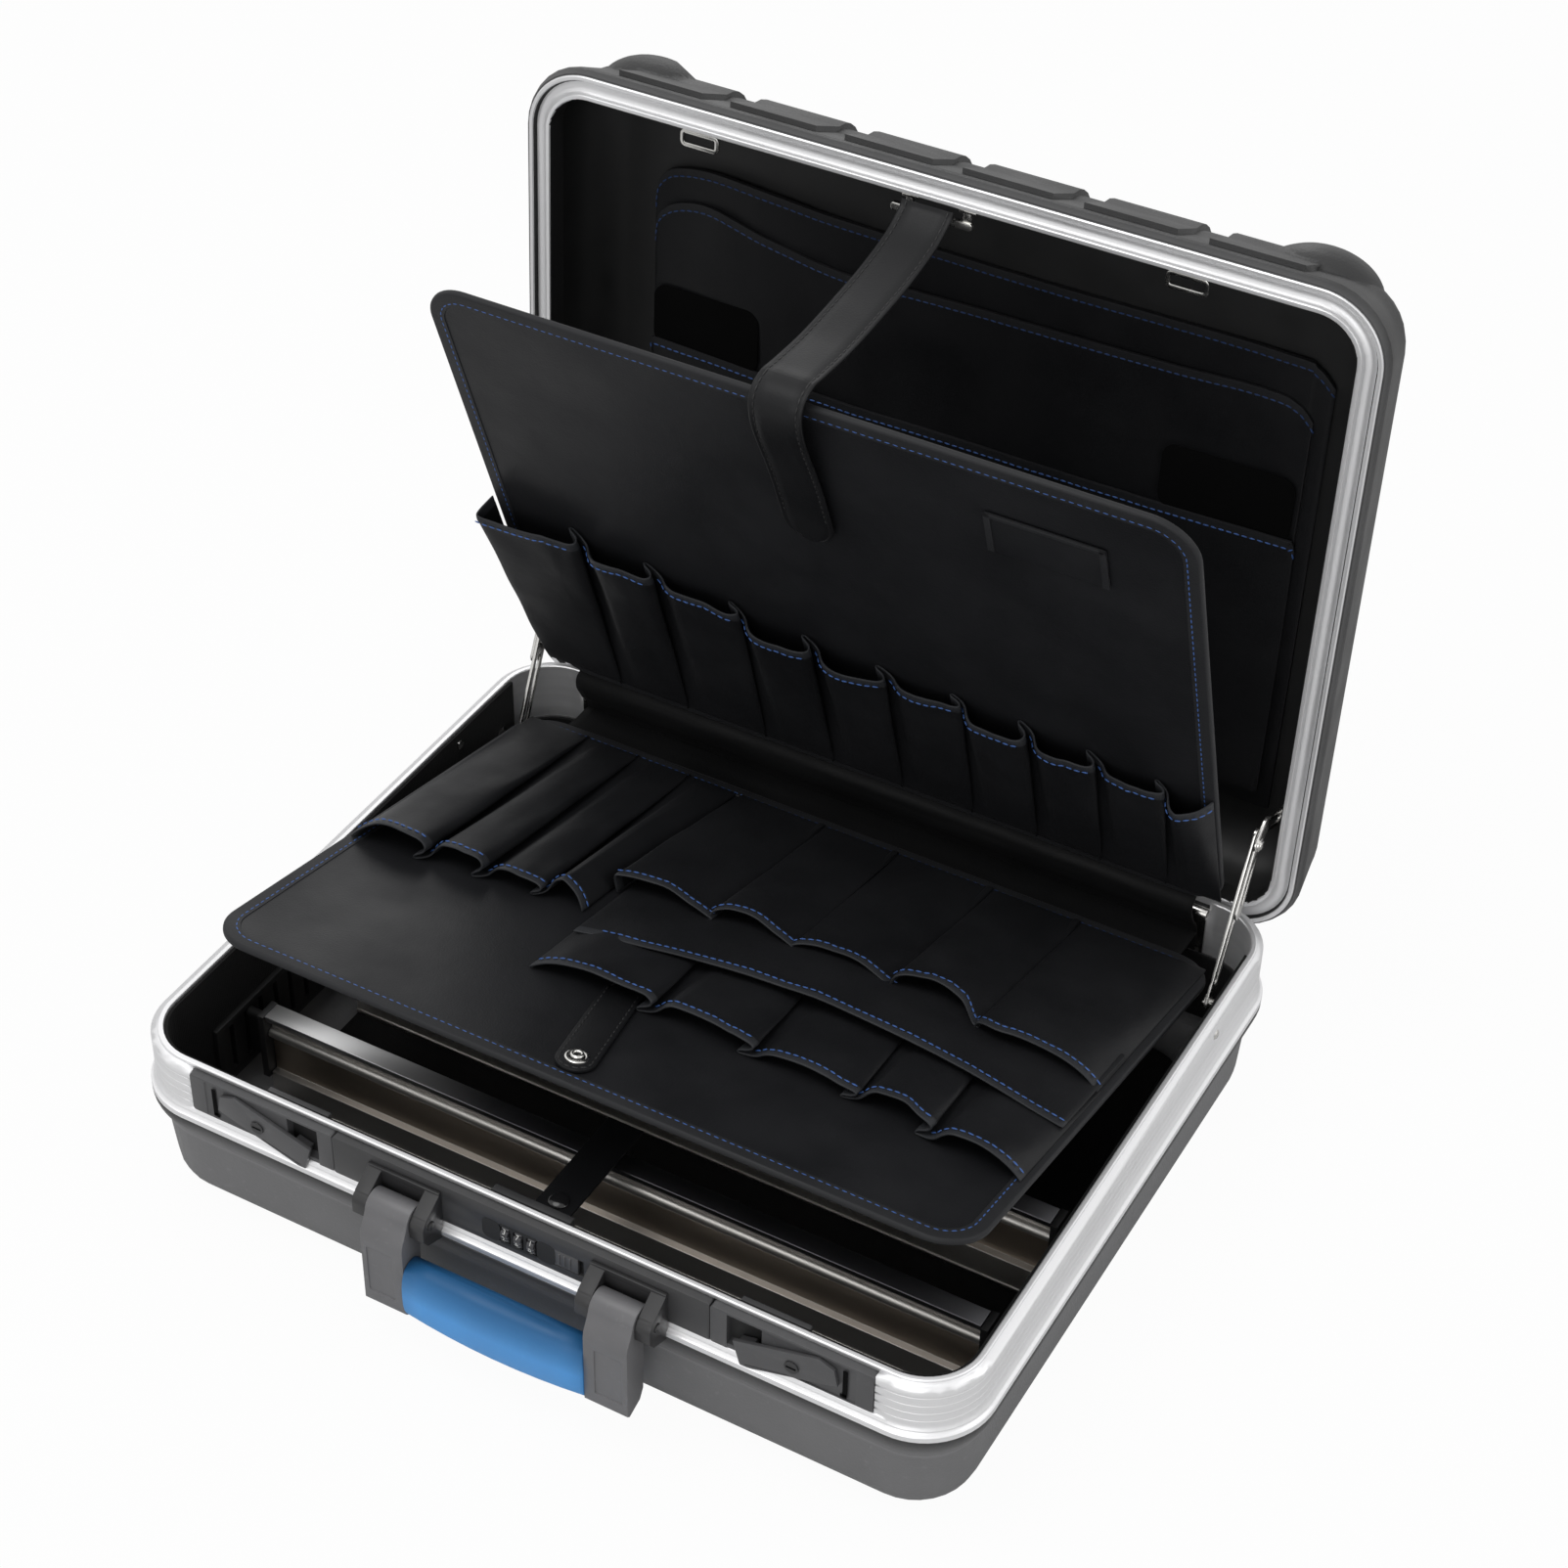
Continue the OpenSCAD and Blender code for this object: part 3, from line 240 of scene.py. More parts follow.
def drawn_aluminium(name, rgb, grain, rough, attribute=None, metal=1.0, glint_span=None):
    """Satin aluminium, with fine lines along the way that it was drawn. The lines follow a grain, or an
    attribute that gives the place across them; the last argument, where given, is the span along X over which
    a painted highlight at the low end fades to satin."""
    t = Tree(name)
    if attribute:
        across = t.add("Attribute", attribute_name=attribute, out=2)
        where = t.add("CombineXYZ", {"X": across})
        lines, broad = t.noise(900.0, 4, where), t.noise(160.0, 2, where)
    else:
        where = t.add("Mapping", {"Vector": t.coords, "Scale": grain})
        lines, broad = t.noise(1.0, 4, where), t.noise(0.22, 3, where)
    cloud = t.noise(16, 4)
    marks = t.span(t.noise(420, 6, rough=0.75), 0.66, 0.76)
    tint = t.blend(lines, shade(rgb, 0.93), shade(rgb, 1.04))
    tint = t.blend(t.span(broad, 0.35, 0.65, 0.0, 0.5), tint, shade(rgb, 0.88))
    if glint_span:
        # Painted highlight: pale grey at the low X end, fading into the satin tint
        tint = t.blend(t.span(t.part(0), *glint_span), (0.8, 0.8, 0.8, 1), tint)
    t.set(Base_Color=t.flecks(tint, marks, 0.10, shade(rgb, 0.6)), Metallic=metal)
    t.set(Roughness=t.math("ADD", t.spread(lines, rough - 0.03, rough + 0.05), t.spread(cloud, -0.03, 0.05)))
    t.bump(lines, 0.05, 0.00004)
    return t.material


def plated_steel(name, rgb, rough=0.22):
    """Nickel-plated steel with soft pitting"""
    t = Tree(name)
    cloud = t.noise(120, 4)
    pits = t.span(t.noise(900, 4, rough=0.7), 0.62, 0.74)
    tint = t.blend(cloud, shade(rgb, 0.85), shade(rgb, 1.1))
    t.set(Base_Color=t.flecks(tint, pits, 0.6, shade(rgb, 0.45)))
    t.set(Metallic=1.0, Roughness=t.spread(cloud, rough - 0.05, rough + 0.12))
    t.bump(cloud, 0.06, 0.0002)
    return t.material


def leatherette(name, rgb, rough=0.46, folds=0.25):
    """Thin coated cloth with a fine leather grain and soft unevenness"""
    t = Tree(name)
    grain = t.cells(1 / (1.1 * MM))
    fine = t.noise(1500, 3)
    patches = t.noise(22, 4)
    worn = t.span(t.noise(150, 5, rough=0.7), 0.58, 0.78)
    tint = t.blend(patches, shade(rgb, 0.75), shade(rgb, 1.25))
    t.set(Base_Color=t.flecks(tint, worn, 0.3, shade(rgb, 1.9)))
    t.set(Roughness=t.spread(patches, rough - 0.07, rough + 0.09), Specular_IOR_Level=0.22)
    soft = t.bump(t.noise(34, 3), folds, 0.0016)
    leather = t.bump(grain, 0.22, 0.00022, soft)
    t.bump(fine, 0.10, 0.00012, leather)
    return t.material


def woven(name, rgb):
    """Plain weave: warp and weft threads that pass over each other"""
    t = Tree(name)
    k = 2 * math.pi / (1.3 * MM)
    x, y, z = (t.part(axis) for axis in range(3))
    across = t.math("ADD", x, y)
    up = t.math("ADD", z, t.math("SUBTRACT", x, y))
    warp = t.math("SINE", t.math("MULTIPLY", across, k))
    weft = t.math("SINE", t.math("MULTIPLY", up, k))
    cloth = t.math("MAXIMUM", warp, weft)
    fuzz = t.noise(900, 4)
    tint = t.blend(t.span(cloth, -0.4, 1.0), shade(rgb, 0.35), shade(rgb, 1.5))
    t.set(Base_Color=t.flecks(tint, fuzz, 0.4, shade(rgb, 2.4)), Roughness=0.85)
    t.set(Specular_IOR_Level=0.2, Sheen_Weight=0.04)
    t.bump(t.math("ADD", cloth, fuzz), 0.4, 0.0002)
    return t.material


def thread(name, rgb):
    """Twisted sewing thread"""
    t = Tree(name)
    twist = t.noise(2200, 2)
    fade = t.noise(45, 3)
    tint = t.blend(twist, shade(rgb, 0.55), shade(rgb, 1.5))
    t.set(Base_Color=t.flecks(tint, fade, 0.3, shade(rgb, 2.0)), Roughness=0.6)
    t.bump(twist, 0.3, 0.0001)
    return t.material


def soft_grip(name, rgb):
    """Matte soft-touch rubber, finely dimpled, slightly dusty, with painted shade towards its upper edge"""
    t = Tree(name)
    patches = t.noise(40, 4)
    fine = t.cells(1800)
    dust = t.span(t.noise(260, 6, rough=0.7), 0.56, 0.72)
    tint = t.blend(patches, shade(rgb, 0.9), shade(rgb, 1.1))
    tint = t.flecks(tint, dust, 0.14, shade(rgb, 1.7))
    # Painted shade: darker and bluer towards the grip's upper edge
    tint = t.blend(t.span(t.part(2), 0.040, 0.056), tint, shade((0.6 * rgb[0], rgb[1], 1.1 * rgb[2]), 0.34))
    t.set(Base_Color=tint, Roughness=t.spread(patches, 0.44, 0.56), Specular_IOR_Level=0.4)
    t.bump(fine, 0.12, 0.00012)
    return t.material


# Finishes: maker, material's name, colour (or a setting and its share), and what else the maker takes
LENGTHWISE = (1, 40, 40)
FINISHES = {
    # The two heights of each shell bound its painted shade
    "base_shell": (pebbled, "base_shell_plastic", ("shell", 1), 51.0, 64.0),
    # The lid's shell is a darker copy of the shell plastic: painted shade
    "lid_shell": (pebbled, "lid_shell_plastic", ("shell", 0.56), 100.0, 107.0, "rise"),
    "fittings": (satin_plastic, "fittings_plastic", ("fittings", 1)),
    "lever": (satin_plastic, "lever_plastic", ("fittings", 1.1), 0.38),
    "lock": (satin_plastic, "lock_plastic", ("fittings", 0.55)),
    "dark": (satin_plastic, "inner_plastic", ("fittings", 0.4), 0.5),
    "handle": (satin_plastic, "handle_plastic", ("handle", 1), 0.40),
    "bracket": (satin_plastic, "bracket_plastic", ("handle", 0.18), 0.36),
    "grip": (soft_grip, "grip_rubber", ("grip", 1)),
    # Near-black plastic; on the rim's inner wall, the lid's inner faces, the plates' recesses and the lock
    # window it is painted shade
    "cavity": (satin_plastic, "cavity_plastic", (0.0065, 0.0065, 0.0068), 0.55),
    # Near-black sheets over slots and openings: painted shade in the holes
    "void": (satin_plastic, "pocket_opening", (0.0030, 0.0030, 0.0031), 0.9, 0.08),
    "ink": (satin_plastic, "dial_numbers", (0.72, 0.72, 0.70), 0.5),
    "snap": (satin_plastic, "snap_lacquer", (0.012, 0.012, 0.013), 0.14),
    "band": (drawn_aluminium, "band_aluminium", ("aluminium", 1), (3, 3, 900), 0.38, None, 0.76),
    "rim": (drawn_aluminium, "rim_aluminium", (0.82, 0.82, 0.83), None, 0.40, "across", 0.62),
    "divider": (drawn_aluminium, "divider_aluminium", (0.66, 0.64, 0.61), LENGTHWISE, 0.42),
    "divider_low": (drawn_aluminium, "divider_foot", (0.42, 0.355, 0.29), LENGTHWISE, 0.42),
    # The rail is a darker copy of the aluminium, with a painted highlight at its left end
    "rail": (drawn_aluminium, "rail_aluminium", (0.17, 0.17, 0.18), LENGTHWISE, 0.36, None, 1.0,
             (-0.17, -0.07)),
    "steel": (plated_steel, "plated_steel", (0.62, 0.61, 0.59)),
    "dial": (plated_steel, "dial_metal", (0.10, 0.10, 0.105), 0.34),
    "bright": (plated_steel, "striker_steel", (0.74, 0.73, 0.70), 0.2),
    "leather": (leatherette, "board_leatherette", ("leather", 1)),
    "pocket": (leatherette, "pocket_leatherette", ("leather", 0.86), 0.52, 0.4),
    "strap": (leatherette, "strap_leatherette", ("leather", 0.62), 0.46, 0.15),
    # The spine is a much darker copy of the leatherette: painted shade between the boards
    "spine": (leatherette, "spine_leatherette", ("leather", 0.15), 0.72, 0.3),
    "hem": (leatherette, "hem_tape", ("hem", 1), 0.55, 0.1),
    "hem_pocket": (leatherette, "pocket_hem", (0.0300, 0.0315, 0.0350), 0.5, 0.1),
    "lining": (woven, "woven_lining", ("lining", 1)),
    "thread": (thread, "blue_thread", ("thread", 1)),
    "faint_thread": (thread, "faded_thread", ("thread", 0.45)),
    "dark_thread": (thread, "dark_thread", (0.0035, 0.0035, 0.004)),
}
MADE = {}


def finish_of(key):
    """The material of a finish, made the first time it is asked for"""
    if key not in MADE:
        make, name, colour, *rest = FINISHES[key]
        if isinstance(colour[0], str):
            colour = [colour[1] * v for v in getattr(bpy.context.scene.case_colours, colour[0])]
        MADE[key] = make(name, colour, *rest)
    return MADE[key]


# ---------- Mesh helpers ----------


def finished(bm, name, material, node, smooth=35.0, stands=True):
    """Piece from a bmesh, with a node's body, that stands for the node or is one more piece on it"""
    mesh = bpy.data.meshes.new(name)
    bm.to_mesh(mesh)
    bm.free()
    for polygon in mesh.polygons:
        polygon.use_smooth = True
    mesh.set_sharp_from_angle(angle=math.radians(smooth))
    mesh.materials.append(finish_of(material))
    piece = bpy.data.objects.new(name, mesh)
    bpy.context.scene.collection.objects.link(piece)
    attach(piece, BODY_OF[node])
    if stands:
        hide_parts(node)
    return piece


def painted(piece, material, where):
    """Gives one more finish to the faces for which where(face) is true"""
    mesh = piece.data
    mesh.materials.append(finish_of(material))
    for p in mesh.polygons:
        if where(p):
            p.material_index = len(mesh.materials) - 1


def thickened(piece, thick, offset=-1):
    """Gives a sheet its cloth's thickness; returns the modifier"""
    skin = piece.modifiers.new("Cloth", "SOLIDIFY")
    skin.thickness, skin.offset = thick, offset
    return skin


def merged_copy(node):
    """The node's triangles as one closed mesh"""
    bm = bmesh.new()
    bm.from_mesh(frame["nodes"][node].data)
    bmesh.ops.remove_doubles(bm, verts=bm.verts, dist=0.004 * MM)
    return bm


def skin_of(bm, node, material, smooth, weighted=True):
    """Piece that stands for a node, from a changed copy of its mesh"""
    piece = finished(bm, node + "_skin", material, node, smooth)
    if weighted:
        piece.modifiers.new("Weighted", "WEIGHTED_NORMAL").keep_sharp = True
    return piece


def smoothed(nodes, material, angle=32.0):
    """Each node again as one merged mesh with smooth curves"""
    return [skin_of(merged_copy(node), node, material, angle) for node in nodes]


def softened(nodes, material, radius, segments=2):
    """Each node again with its sharp edges rounded by a radius in millimetres"""
    made = []
    for node in nodes:
        bm = merged_copy(node)
        bmesh.ops.dissolve_limit(bm, angle_limit=math.radians(0.5), verts=bm.verts, edges=bm.edges)
        round_edges(bm, radius, segments, 28.0)
        bmesh.ops.remove_doubles(bm, verts=bm.verts, dist=0.002 * MM)
        bmesh.ops.triangulate(bm, faces=[f for f in bm.faces if len(f.verts) > 4])
        made.append(skin_of(bm, node, material, 36.0, False))
    return made


def outwards(co):
    """Direction away from the case's middle at a place, and its distance outside the inner outline in mm"""
    x, y = co.x / MM, co.y / MM
    dx, dy = abs(x) - (HALF_W - CORNER_R), abs(y) - (HALF_D - CORNER_R)
    if dx > 0 and dy > 0:
        d = math.hypot(dx, dy)
        return Vector((math.copysign(dx / d, x), math.copysign(dy / d, y), 0)), d - CORNER_R
    if dx > dy:
        return Vector((math.copysign(1, x), 0, 0)), dx - CORNER_R
    return Vector((0, math.copysign(1, y), 0)), dy - CORNER_R


def between(table, z):
    """Value at a height from a table that falls from its first height to its last"""
    for (z0, a), (z1, b) in zip(table, table[1:]):
        if z >= z1:
            u = min(max((z - z1) / (z0 - z1), 0), 1)
            return b + (a - b) * u
    return table[-1][1]


def cut_level(bm, z):
    """Cuts the faces of a mesh at a height, so that it can be shaped there"""
    bmesh.ops.bisect_plane(bm, geom=bm.verts[:] + bm.edges[:] + bm.faces[:], dist=1e-6,
                           plane_co=(0, 0, z * MM), plane_no=(0, 0, 1))


def bevelled(bm, geom, radius, segments, affect, clamp):
    """Rounds edges or corners by a radius in millimetres; returns what was made"""
    return bmesh.ops.bevel(bm, geom=geom, offset=radius * MM, offset_type="OFFSET", affect=affect,
                           segments=segments, profile=0.5, material=-1, clamp_overlap=clamp)


def plate(bm, width, depth, radius, segments, centre, z=0.0):
    """Rounded rectangle face; sizes in millimetres. Returns the face."""
    made = bmesh.ops.create_grid(bm, x_segments=1, y_segments=1, size=0.5)["verts"]
    bmesh.ops.scale(bm, vec=(width * MM, depth * MM, 1), verts=made)
    bmesh.ops.translate(bm, vec=(centre[0] * MM, centre[1] * MM, z * MM), verts=made)
    if radius:
        made = bevelled(bm, made, radius, segments, "VERTICES", False)["verts"]
    faces = {f for v in made for f in v.link_faces}
    return max(faces, key=lambda f: f.calc_area())


def raised(bm, face, height):
    """Gives a face a thickness upwards; returns the top face"""
    made = bmesh.ops.extrude_face_region(bm, geom=[face])["geom"]
    top = [g for g in made if isinstance(g, bmesh.types.BMFace)][0]
    bmesh.ops.translate(bm, vec=(0, 0, height * MM), verts=top.verts)
    return top


def slabs(*rows):
    """Mesh of slabs, each with the width, depth, corner radius, corner steps, centre and foot of its face,
    and its height"""
    bm = bmesh.new()
    for *face, height in rows:
        raised(bm, plate(bm, *face), height)
    return bm


def inset(bm, face, width, step):
    """Insets a face by a width and moves what is inside by a step"""
    bmesh.ops.inset_region(bm, faces=[face], thickness=width * MM, use_even_offset=True)
    bmesh.ops.translate(bm, vec=(0, 0, step * MM), verts=face.verts)


def round_edges(bm, radius, segments=2, angle=60.0):
    """Rounds the edges that are sharper than an angle in degrees"""
    edges = [e for e in bm.edges if len(e.link_faces) == 2 and e.calc_face_angle(0) > math.radians(angle)]
    bevelled(bm, edges, radius, segments, "EDGES", True)


def rows_of(bm, across, along):
    """Vertices of a grid of across by along faces, row by row"""
    made = bmesh.ops.create_grid(bm, x_segments=across, y_segments=along, size=1)["verts"]
    return sorted(made, key=lambda v: (round(v.co.y, 6), round(v.co.x, 6)))


def face_along(bm, direction):
    """Turns an open sheet so that its faces look along a direction"""
    bmesh.ops.recalc_face_normals(bm, faces=bm.faces)
    if sum(f.normal.dot(direction) * f.calc_area() for f in bm.faces) < 0:
        bmesh.ops.reverse_faces(bm, faces=bm.faces)


def lifting(pivot, angle):
    """Turn about an X axis through (y, z) in millimetres that lifts the front"""
    at = Matrix.Translation((0, pivot[0] * MM, pivot[1] * MM))
    return at @ Matrix.Rotation(math.radians(-angle), 4, "X")


def on_board(board):
    """Board's own axes: x across, y towards its free edge, z off its upper face"""
    flip = Matrix.Scale(-1, 4, (0, 1, 0))
    return lifting(board["pivot"], board["angle"]) @ flip


LID = lifting(HINGE, OPEN_ANGLE) @ Matrix.Translation((0, -HINGE[0] * MM, -HINGE[1] * MM))


def turn_over(bm, matrix):
    """Moves a mesh to its place; a mirrored matrix turns the faces, so they are turned back"""
    bmesh.ops.transform(bm, matrix=matrix, verts=bm.verts)
    if matrix.determinant() < 0:
        bmesh.ops.reverse_faces(bm, faces=bm.faces)


def upright(y):
    """Stands a drawing in the XY plane up, to face the front at a depth y in millimetres"""
    return Matrix.Translation((0, y * MM, 0)) @ Matrix.Rotation(math.pi / 2, 4, "X")


def curve_through(points, steps):
    """Smooth path through points (Catmull-Rom)"""
    pts = [Vector(p) for p in points]
    out = []
    for a, b, c, d in zip([pts[0]] + pts, pts, pts[1:], pts[2:] + [pts[-1]]):
        for s in range(steps):
            u = s / steps
            out.append(0.5 * (2 * b + (c - a) * u + (2 * a - 5 * b + 4 * c - d) * u * u
                              + (3 * b - a - 3 * c + d) * u ** 3))
    return out + [pts[-1]]


def resampled(path, pitch, closed=False):
    """Points and directions every pitch along a path"""
    pts = list(path) + ([path[0]] if closed else [])
    out, need, travelled = [], pitch / 2, 0.0
    for a, b in zip(pts, pts[1:]):
        step = (b - a).length
        while step > 1e-9 and travelled + step >= need:
            u = (need - travelled) / step
            out.append((a.lerp(b, u), (b - a).normalized()))
            need += pitch
        travelled += step
    return out


def one_stitch():
    """Mesh of a single stitch of unit size, lying along X"""
    bm = bmesh.new()
    bmesh.ops.create_uvsphere(bm, u_segments=6, v_segments=4, radius=1,
                              matrix=Matrix.Rotation(math.pi / 2, 4, "Y"))
    mesh = bpy.data.meshes.new("stitch")
    bm.to_mesh(mesh)
    bm.free()
    return mesh


def sew(bm, path, up, closed=False, sunk=0.0):
    """Row of stitches along a path in metres; up is the surface's normal, or a list of (point, normal);
    sunk is how far the thread is pulled in to the cloth, in millimetres"""
    s = sizes()
    unit = one_stitch()
    size = Matrix.Diagonal((s.stitch / 2, s.thread * 0.62, s.thread * 0.5, 1))
    for p, along in resampled(path, s.pitch, closed):
        normal = min(up, key=lambda at: (at[0] - p).length_squared)[1] if isinstance(up, list) else up
        side = normal.cross(along).normalized()
        turn = 0.12 * (noise.noise(p * 900) - 0.1)
        along = (along + side * turn).normalized()
        side = normal.cross(along).normalized()
        lie = Matrix((along, side, along.cross(side))).transposed().to_4x4()
        stitch = unit.copy()
        stitch.transform(Matrix.Translation(p - normal * sunk * MM) @ lie @ size)
        bm.from_mesh(stitch)
        bpy.data.meshes.remove(stitch)
    bpy.data.meshes.remove(unit)


def outline_path(width, depth, radius, centre, z):
    """Points round a rounded rectangle, in metres"""
    pts, steps = [], 10
    for q in range(4):
        cx = centre[0] + (1 if q in (0, 3) else -1) * (width / 2 - radius)
        cy = centre[1] + (1 if q < 2 else -1) * (depth / 2 - radius)
        for i in range(steps + 1):
            a = math.radians(90 * (q + i / steps))
            pts.append(Vector((cx + radius * math.cos(a), cy + radius * math.sin(a), z)) * MM)
    return pts


# Half section of a padded strap: share of the half width, and of the half thickness
STRAP_SECTION = [(0.0, 1.15), (0.45, 1.12), (0.70, 1.0), (0.765, 0.55), (0.80, 0.5), (0.835, 0.6),
                 (0.90, 0.85), (0.96, 0.8), (1.0, 0.45)]


def ribbon(bm, path, normals, width, thick):
    """Padded strap along a path (metres) with a normal at each point; grooves run where it is sewn"""
    half = [(a * width / 2, b * thick / 2) for a, b in STRAP_SECTION]
    top = half + [(a, -b) for a, b in reversed(half)]
    ring = top + [(-a, b) for a, b in reversed(top)]
    ring = [p for i, p in enumerate(ring) if p != ring[i - 1]]
    rows = []
    for p, n in zip(path, normals):
        rows.append([bm.verts.new(p + Vector((x * MM, 0, 0)) + n * (h * MM)) for x, h in ring])
    count = len(ring)
    for a, b in zip(rows, rows[1:]):
        for i in range(count):
            bm.faces.new((a[i], a[(i + 1) % count], b[(i + 1) % count], b[i]))
    bm.faces.new(rows[0][::-1])
    bm.faces.new(rows[-1])
    bmesh.ops.recalc_face_normals(bm, faces=bm.faces)


def turned(bm, outline, steps=48):
    """Adds a body turned about Z from (radius, height) points in millimetres"""
    verts = [bm.verts.new((a * MM, 0, h * MM)) for a, h in outline]
    edges = [bm.edges.new(pair) for pair in zip(verts, verts[1:])]
    bmesh.ops.spin(bm, geom=verts + edges, cent=(0, 0, 0), axis=(0, 0, 1), angle=2 * math.pi, steps=steps,
                   use_merge=True)
    bmesh.ops.remove_doubles(bm, verts=bm.verts, dist=1e-7)
    bmesh.ops.recalc_face_normals(bm, faces=bm.faces)


def path_normals(path, back=Vector((1, 0, 0))):
    """Normals of a path that runs in a plane across the given direction"""
    out = []
    for i in range(len(path)):
        a, b = path[max(0, i - 1)], path[min(len(path) - 1, i + 1)]
        out.append(back.cross(b - a).normalized())
    return out


# ---------- Shells, frame and linings ----------


class CASE_OT_shells(bpy.types.Operator):
    """Plastic shells of the base and the lid"""

    bl_idname = "case.shells"
    bl_label = "Shells"

    def execute(self, context):
        self.base()
        self.lid()
        return {"FINISHED"}

    def base(self):
        """The base's shell; its flange swells out to the band's foot and rounds in to the wall"""
        bm = merged_copy("base_shell")
        for z, _ in FLANGE:
            cut_level(bm, z)
        for v in bm.verts:
            away, d = outwards(v.co)
            z = v.co.z / MM
            if d > 1.2 and z > FLANGE[-1][0] - 0.01:
                v.co += away * ((between(FLANGE, z) - d) * MM)
        skin_of(bm, "base_shell", "base_shell", 50)

    def lid(self):
        """The lid's shell; its inner faces get the near-black finish, partly their own black and partly
        painted shade
        """
        bm = merged_copy("lid_shell")
        rise = bm.verts.layers.float.new("rise")
        back = LID.inverted()
        for v in bm.verts:
            v[rise] = (back @ v.co).z
        turn = back.to_3x3()

        # Inner faces: near black, partly painted shade
        def inside(face):
            at, normal = back @ face.center / MM, turn @ face.normal
            above = max(0.0, at.z - 107)
            side, front = (8.2 - above * math.tan(math.radians(draft)) for draft in (9, 23))
            within = abs(at.x) < HALF_W + side and -HALF_D - front < at.y < HALF_D + side and at.z < 157.5
            flat_side = abs(normal.x) > 0.7 and abs(at.x) < 195
            return within and normal.dot(Vector((0, 0, 128)) - at) > 0 and not flat_side

        painted(skin_of(bm, "lid_shell", "lid_shell", 30), "cavity", inside)


class CASE_OT_frame(bpy.types.Operator):
    """Aluminium band of the base and rim of the lid, with rivets and hinges"""

    bl_idname = "case.frame"
    bl_label = "Aluminium frame"

    def execute(self, context):
        self.band()
        smoothed(["frame_rivets"], "steel", 30)
        bm = merged_copy("lid_frame")
        across = bm.verts.layers.float.new("across")
        back = LID.inverted()
        for v in bm.verts:
            p = back @ v.co
            v[across] = outwards(p)[1] * MM + (p.z - 0.1)
        turn = back.to_3x3()

        # Inward faces of the rim get the near-black finish: painted shade on the aluminium
        def inner_wall(face):
            at, normal = back @ face.center, turn @ face.normal
            return at.z > 101.4 * MM and normal.dot(outwards(at)[0]) < -0.7

        painted(skin_of(bm, "lid_frame", "rim", 24), "cavity", inner_wall)
        softened(["hinge_base_leaves", "hinge_lid_leaves"], "steel", 0.25)
        smoothed(["hinge_pins"], "steel")
        return {"FINISHED"}

    def band(self):
        """The base's band with its foot flared out to a bead"""
        bm = merged_copy("base_frame")
        for z in (66.2, 67.2, 68.2, 69.2, 70.4, 71.6, 73.0):
            cut_level(bm, z)
        for v in bm.verts:
            away, d = outwards(v.co)
            z = v.co.z / MM
            if 74 < z < 97.4 and 5.9 < d < 6.55:
                v.co += away * ((6.6 - d) * 0.6 * MM)
            u = min(max((73.0 - z) / 6.0, 0), 1)
            if d > 4.5 and u > 0:
                v.co += away * (2.9 * u * u * (3 - 2 * u) * MM)
        skin_of(bm, "base_frame", "band", 40)


class CASE_OT_linings(bpy.types.Operator):
    """Woven linings, slotted strips and the cloth strip along the hinge"""

    bl_idname = "case.linings"
    bl_label = "Linings"

    def execute(self, context):
        wall, floor = smoothed(["wall_liner", "floor_liner"], "lining", 30)
        softened(["slot_strips"], "cavity", 0.3)
        self.spine()
        return {"FINISHED"}

    def spine(self):
        """Cloth that runs up from the lower board over the hinges in a soft roll to the upper board"""
        up = [(177.6, 66.7), (177.4, 74), (176.8, 81), (174.2, 87), (170.6, 91.4), (168.2, 95.6),
              (166.4, 99.8), (165.5, 103.2), (165.4, 106), (166.6, 108.4), (169.5, 110.0)]
        flap = [(155.6, 80.2), (162, 79.6), (170, 79.4), (176.9, 79.0)]
        half, across = 188, 76
        for name, path, held, on in (("spine_cover", up, "stretched", ["lower_panel", "upper_panel"]),
                                     ("spine_flap", flap, "laid", ["lower_panel"])):
            path = curve_through([(0, y * MM, z * MM) for y, z in path], 4)
            bm = bmesh.new()
            for k, v in enumerate(rows_of(bm, across, len(path) - 1)):
                row, column = divmod(k, across + 1)
                x = (2 * column / across - 1) * half * MM
                wave = 1.3 * noise.noise(Vector((x * 22, row * 0.13, 3)))
                wave += 0.35 * noise.noise(Vector((x * 90, row * 0.2, 7)))
                room = math.sin(math.pi * row / (len(path) - 1))
                v.co = path[row] + Vector((x, -0.8 * wave * room * MM, 0.5 * wave * room * MM))
            bmesh.ops.recalc_face_normals(bm, faces=bm.faces)
            # The spine finish is painted shade: a darker copy of the leatherette
            cover = finished(bm, name, "spine", "spine_strip", 60, name == "spine_cover")
            thickened(cover, 1.3 * MM, 0)


# ---------- Latches, lock and handle ----------


PLATE_FACE = -187.0  # depth of the latch plates' and the lock plate's face, in millimetres
LEVER_PIVOT = 149.0


def darken_recesses(piece):
    """Gives a plate's faces that lie behind its front the near-black finish: painted shade in its recesses"""
    painted(piece, "cavity", lambda p: p.center.y > (PLATE_FACE + 1) * MM and abs(p.normal.y) > 0.5)


